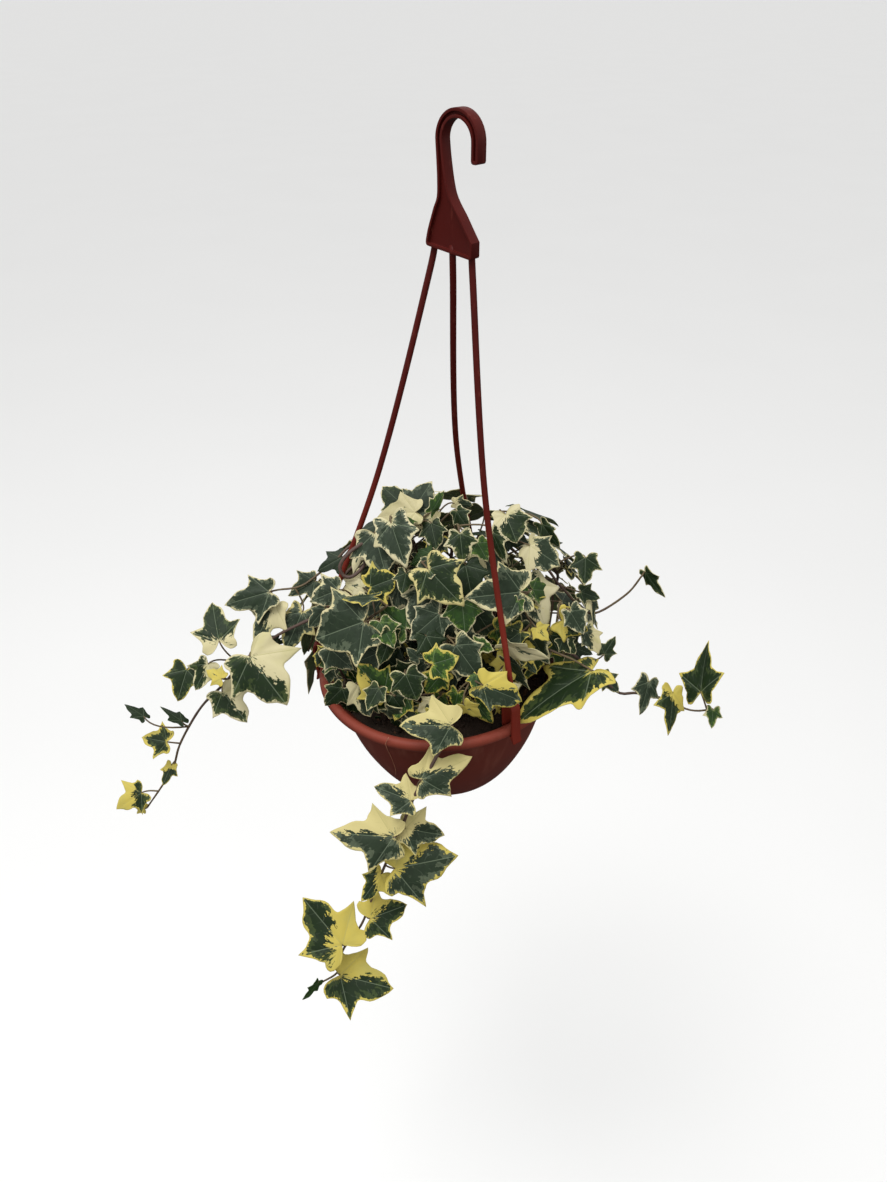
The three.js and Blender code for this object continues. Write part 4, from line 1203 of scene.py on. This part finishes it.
def make_clip(index, strap, material):
    """A hoop over the rim, with a barb under its outer edge."""
    inner, outer = RIM_R - 9 - CLIP_GAP, RIM_R + 0.3 + CLIP_GAP
    middle, arch_in = (inner + outer) / 2, (outer - inner) / 2
    arch_out = arch_in + CLIP_THICK
    arch_z, barb_z = CLIP_RISE - arch_out, -RIM_TALL - CLIP_GAP
    over = [(middle + x, arch_z + z) for x, z in arc(arch_in, math.pi, 0, 14)]
    back = [(middle + x, arch_z + z) for x, z in arc(arch_out, 0, math.pi, 18)]
    outline = [(inner, CLIP_LOW), *over, (outer, barb_z), (outer - CLIP_BARB, barb_z),
               (outer, barb_z - CLIP_BARB), (outer + CLIP_FLARE, barb_z - 5.4),
               (outer + CLIP_FLARE + 0.8 * CLIP_THICK, barb_z - 5.2),
               (outer + CLIP_THICK, barb_z + 1), *back, (inner - CLIP_THICK, CLIP_LOW)]
    turn = math.radians(strap["angle"])
    c, s = math.cos(turn), math.sin(turn)
    points = [(r * c - side * s, r * s + side * c, z)
              for side in (-CLIP_WIDE / 2, CLIP_WIDE / 2) for r, z in outline]
    return moulded(f"hanger_clip_{index}", material, tilt(points),
                   tube_faces(2, len(outline)), CLIP_ROUND)


# Materials

def tone(red, green, blue):
    """A colour given as 0 to 255 in each channel, as linear light."""
    def linear(value):
        value /= 255
        return value / 12.92 if value <= 0.04045 else ((value + 0.055) / 1.055) ** 2.4
    return (linear(red), linear(green), linear(blue), 1)


class Value:
    """What a node gives. Its sums, differences and products are nodes too."""

    def __init__(self, paint, socket):
        self.paint, self.socket = paint, socket

    def __add__(self, other):
        return self.paint.math("ADD", self, other)

    def __sub__(self, other):
        return self.paint.math("SUBTRACT", self, other)

    def __mul__(self, other):
        return self.paint.math("MULTIPLY", self, other)


class Paint:
    """A material or world whose node tree is written as a formula."""

    def __init__(self, owner, shader="Principled BSDF"):
        owner.use_nodes = True
        self.owner, self.tree = owner, owner.node_tree
        self.shader = self.tree.nodes[shader]

    def fill(self, node, inputs):
        for key, value in inputs.items():
            if isinstance(value, Value):
                self.tree.links.new(value.socket, node.inputs[key])
            else:
                node.inputs[key].default_value = value

    def node(self, kind, output, inputs, **settings):
        made = self.tree.nodes.new(kind)
        for key, value in settings.items():
            setattr(made, key, value)
        self.fill(made, inputs)
        return Value(self, made.outputs[output])

    def value(self, name, output="Vector"):
        return self.node("ShaderNodeAttribute", output, {}, attribute_name=name)

    def parts(self, vector):
        return [self.node("ShaderNodeSeparateXYZ", i, {0: vector}) for i in range(3)]

    def vector(self, *parts):
        return self.node("ShaderNodeCombineXYZ", 0, dict(enumerate(parts)))

    def math(self, operation, *values):
        return self.node("ShaderNodeMath", 0, dict(enumerate(values)), operation=operation)

    def place(self, output="Object"):
        return self.node("ShaderNodeTexCoord", output, {})

    def scaled(self, vector, *scale):
        return self.node("ShaderNodeMapping", 0, {"Vector": vector, "Scale": scale})

    def noise(self, vector, scale, detail=3, rough=0.55):
        return self.node("ShaderNodeTexNoise", "Fac", {
            "Vector": vector, "Scale": scale, "Detail": detail, "Roughness": rough})

    def ramp(self, value, low, high, to_low=0, to_high=1, kind="SMOOTHSTEP"):
        return self.node("ShaderNodeMapRange", "Result", {
            "Value": value, "From Min": low, "From Max": high, "To Min": to_low,
            "To Max": to_high}, interpolation_type=kind)

    def mix(self, share, first, second):
        """Two colours mixed. A plain one is given as 0 to 255 in each channel."""
        first, second = (tone(*c) if isinstance(c, tuple) else c for c in (first, second))
        return self.node("ShaderNodeMix", 2, {"Factor": share, 6: first, 7: second},
                         data_type="RGBA")

    def finish(self, colour, roughness, specular=0.5, bump=None):
        """Sets the shader. A bump is (height, strength, distance)."""
        self.fill(self.shader, {"Base Color": colour, "Roughness": roughness,
                                "Specular IOR Level": specular})
        if bump:
            keys = ("Height", "Strength", "Distance")
            normal = self.node("ShaderNodeBump", 0, dict(zip(keys, bump)))
            self.fill(self.shader, {"Normal": normal})
        return self.owner


def new_paint(name):
    return Paint(bpy.data.materials.new(name))


def leaf_material():
    """Green islands in a pale margin that is ragged along the veins, in two greens."""
    paint = new_paint("ivy_blade")
    ramp, mix = paint.ramp, paint.mix
    x, y, seed = paint.parts(paint.value("leaf_place"))
    edge, bias_x, bias_y = paint.parts(paint.value("leaf_edge"))
    off, along, under = paint.parts(paint.value("leaf_vein"))
    width, green, warmth = paint.parts(paint.value("leaf_look"))

    spot = paint.vector(x, y, seed)
    angle = paint.math("ARCTAN2", x, y + 0.06)
    far = paint.math("SQRT", x * x + y * y)
    patches = paint.noise(spot, 3.2, 2) - 0.5
    streaks = paint.noise(paint.vector(angle * 5.5, far * 3.2, seed), 1.7, 3, 0.6) - 0.5
    teeth = paint.noise(spot, 24, 3, 0.7) - 0.5
    ragged = patches * 0.7 + streaks * 0.9 + teeth * 0.34

    rest = edge + ragged - width
    wide_pale = ramp(rest, -0.015, 0.02, 1, 0)
    brim = edge + teeth * 0.3 + streaks * 0.35
    thin_pale = ramp(brim, 0.07, 0.1, 1, 0) * ramp(width, -0.3, -0.15)
    toward = bias_x * x + bias_y * (y - 0.28)
    half = toward + (width - 0.11) + ragged * 0.6
    half_pale = ramp(half, -0.006, 0.008) * ramp(bias_x * bias_x + bias_y * bias_y, 0.05, 0.1)
    pale = paint.math("MAXIMUM", paint.math("MAXIMUM", wide_pale, thin_pale), half_pale)

    blotch = paint.noise(spot, 5.5, 3, 0.6) - 0.5
    shade = ramp(rest + blotch * 1.8 + streaks * 0.9, 0.2, 0.27)
    deep, bright = ramp(green, 0.25, 0.5), ramp(green, 0.75, 1)
    grey = mix(bright, mix(deep, (82, 92, 72), (58, 72, 36)), (86, 112, 42))
    dark = mix(bright, mix(deep, (40, 53, 36), (25, 42, 16)), (42, 70, 24))
    clouds = paint.noise(spot, 9, 3, 0.6)
    leafy = mix(ramp(clouds, 0.35, 0.7, 0, 0.45), mix(shade, grey, dark), (28, 38, 26))
    soft = ramp(paint.noise(spot, 2.2, 2), 0.45, 0.8, 0, 0.45)
    cream = mix(soft, mix(warmth, (202, 194, 157), (198, 181, 86)), (176, 172, 104))

    main = ramp(off, 0.003, 0.011, 1, 0)
    wobble = (paint.noise(spot, 7, 2) - 0.5) * 0.14
    comb = paint.math("FRACT", (along - off * 0.8 + wobble) * 5.2)
    comb = ramp(paint.math("ABSOLUTE", comb - 0.5), 0.02, 0.08, 1, 0)
    vein = paint.math("MAXIMUM", main, comb * ramp(clouds, 0.4, 0.65, 0, 0.3))
    vein = vein * ramp(edge, 0, 0.25, 0.2, 1)
    leafy = mix(vein * 0.4, leafy, (140, 154, 126))
    cream = mix(vein * 0.4, cream, (168, 164, 104))
    back = mix(pale, (98, 116, 78), (188, 184, 138))
    back = mix(main * 0.5, back, (174, 180, 132))
    colour = mix(under, mix(pale, leafy, cream), back)
    return paint.finish(colour, paint.noise(spot, 9, 2) * 0.22 + 0.42, 0.2,
                        (paint.noise(spot, 26, 2) * 0.35 - vein, 0.35, 0.0006))


def stem_material():
    paint = new_paint("ivy_stem")
    place = paint.place()
    patches = paint.noise(place, 120, 3)
    old = paint.mix(patches, (60, 42, 38), (96, 74, 62))
    fresh = paint.mix(patches, (82, 58, 48), (114, 102, 66))
    colour = paint.mix(paint.ramp(paint.value("young", "Fac"), 0.35, 0.95), old, fresh)
    return paint.finish(colour, patches * 0.2 + 0.5, bump=(paint.noise(place, 900, 2), 0.4, 0.0004))


def pot_material():
    """Moulded terracotta-coloured plastic, with painted light at the rim: a lighter tone there,
    darker below.
    """
    paint = new_paint("pot_plastic")
    place = paint.place()
    clouds = paint.noise(place, 14, 4, 0.6)
    specks = paint.noise(place, 420, 2)
    streaks = paint.noise(paint.scaled(place, 1, 1, 0.12), 70, 3)
    # The rim's tone is a lighter copy of the body's: painted light where light from above falls on
    # the rim.
    body = paint.mix(clouds, (90, 36, 25), (114, 47, 33))
    rim = paint.mix(clouds, (122, 52, 38), (142, 65, 49))
    colour = paint.mix(paint.ramp(paint.parts(place)[2], -0.448, -0.436), body, rim)
    colour = paint.mix(paint.ramp(streaks, 0.52, 0.75) * 0.22, colour, (150, 98, 80))
    colour = paint.mix(paint.ramp(specks, 0.62, 0.75) * 0.3, colour, (70, 34, 26))
    return paint.finish(colour, clouds * 0.2 + 0.5, 0.25, (clouds + specks * 0.2, 0.15, 0.0008))


def hanger_material():
    """Darker red-brown plastic, satin, with rubbed lighter patches, and painted shade on its upper
    parts.
    """
    paint = new_paint("hanger_plastic")
    place = paint.place()
    clouds = paint.noise(place, 30, 4)
    scuffs = paint.noise(paint.scaled(place, 1, 1, 0.2), 260, 2)
    # upper and lower are shaded and lit copies of one plastic: painted shade darkens the parts
    # higher up, and the lower parts get a lighter tone.
    upper = paint.mix(clouds, (66, 14, 10), (84, 20, 14))
    lower = paint.mix(clouds, (106, 35, 25), (130, 46, 33))
    colour = paint.mix(paint.ramp(paint.parts(place)[2], -0.2, -0.38), upper, lower)
    colour = paint.mix(paint.ramp(scuffs, 0.6, 0.72) * 0.25, colour, (130, 62, 50))
    return paint.finish(colour, clouds * 0.22 + 0.4, 0.13, (scuffs, 0.12, 0.0004))


def soil_material():
    paint = new_paint("potting_soil")
    place = paint.place()
    coarse = paint.noise(place, 90, 4, 0.65)
    fine = paint.noise(place, 700, 3, 0.7)
    colour = paint.mix(coarse, (26, 20, 16), (58, 44, 34))
    colour = paint.mix(paint.ramp(fine, 0.6, 0.72) * 0.4, colour, (104, 78, 54))
    colour = paint.mix(paint.value("bark", "Fac") * 0.6, colour, (96, 66, 44))
    return paint.finish(colour, fine * 0.2 + 0.8, 0.25, (coarse + fine, 0.8, 0.0012))


def mottled(name, scale, first, second, rough, rougher=0.2):
    """A plain material of two tones in patches."""
    paint = new_paint(name)
    patches = paint.noise(paint.place(), scale, 2)
    return paint.finish(paint.mix(patches, first, second),
                        patches * rougher + rough if rougher else rough)


# Camera, light and floor

def make_camera():
    data = bpy.data.cameras.new("camera")
    data.lens = LENS
    data.sensor_width = SENSOR
    data.clip_end = VIEW_REACH
    camera = stand("camera", data)
    camera.location = row(EYE)
    camera.rotation_euler = (math.pi / 2 - PITCH, 0, 0)
    bpy.context.scene.camera = camera


def make_studio():
    """A pale floor under soft white light from above, with little from below."""
    scene = bpy.context.scene
    scene.view_settings.view_transform = "Standard"
    scene.world = bpy.data.worlds.new("studio")
    sky = Paint(scene.world, "Background")
    level = sky.parts(sky.place("Generated"))[2]
    fade = sky.ramp(level, *SKY_FADE, SKY_BELOW, SKY_ABOVE, "LINEAR")
    sky.fill(sky.shader, {"Strength": fade, "Color": (1, 1, 1, 1)})
    data = bpy.data.lights.new("sky_light", "AREA")
    data.shape = "DISK"
    data.size = LIGHT_SIZE
    data.energy = LIGHT_ENERGY
    light = stand("sky_light", data)
    light.location = LIGHT_PLACE
    light.rotation_euler = (LIGHT_TARGET - LIGHT_PLACE).to_track_quat("-Z", "Y").to_euler()
    mesh = bpy.data.meshes.new("floor")
    corners = [(x * FLOOR_REACH, y * FLOOR_REACH, FLOOR_Z)
               for x, y in ((-1, -1), (1, -1), (1, 1), (-1, 1))]
    mesh.from_pydata(corners, [], [(0, 1, 2, 3)])
    mesh.materials.append(mottled("pale_floor", 1.5, (247, 247, 246), (250, 250, 249), 0.9, 0))
    floor = stand("floor", mesh)
    floor.visible_diffuse = False
    floor.visible_glossy = False


def main():
    make_camera()
    make_studio()
    foliage = [leaf_material(), stem_material()]
    for stem in make_stems():
        grow(stem, foliage)
    make_pot(pot_material())
    make_soil(soil_material())
    make_weed(mottled("clover_leaf", 300, (44, 78, 36), (78, 118, 56), 0.45))
    make_thread(mottled("root_thread", 200, (150, 88, 66), (186, 132, 104), 0.55))
    plastic = hanger_material()
    make_head(plastic)
    for index, strap in enumerate(STRAPS, 1):
        make_strap(index, strap, plastic)
        make_clip(index, strap, plastic)
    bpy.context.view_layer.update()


main()
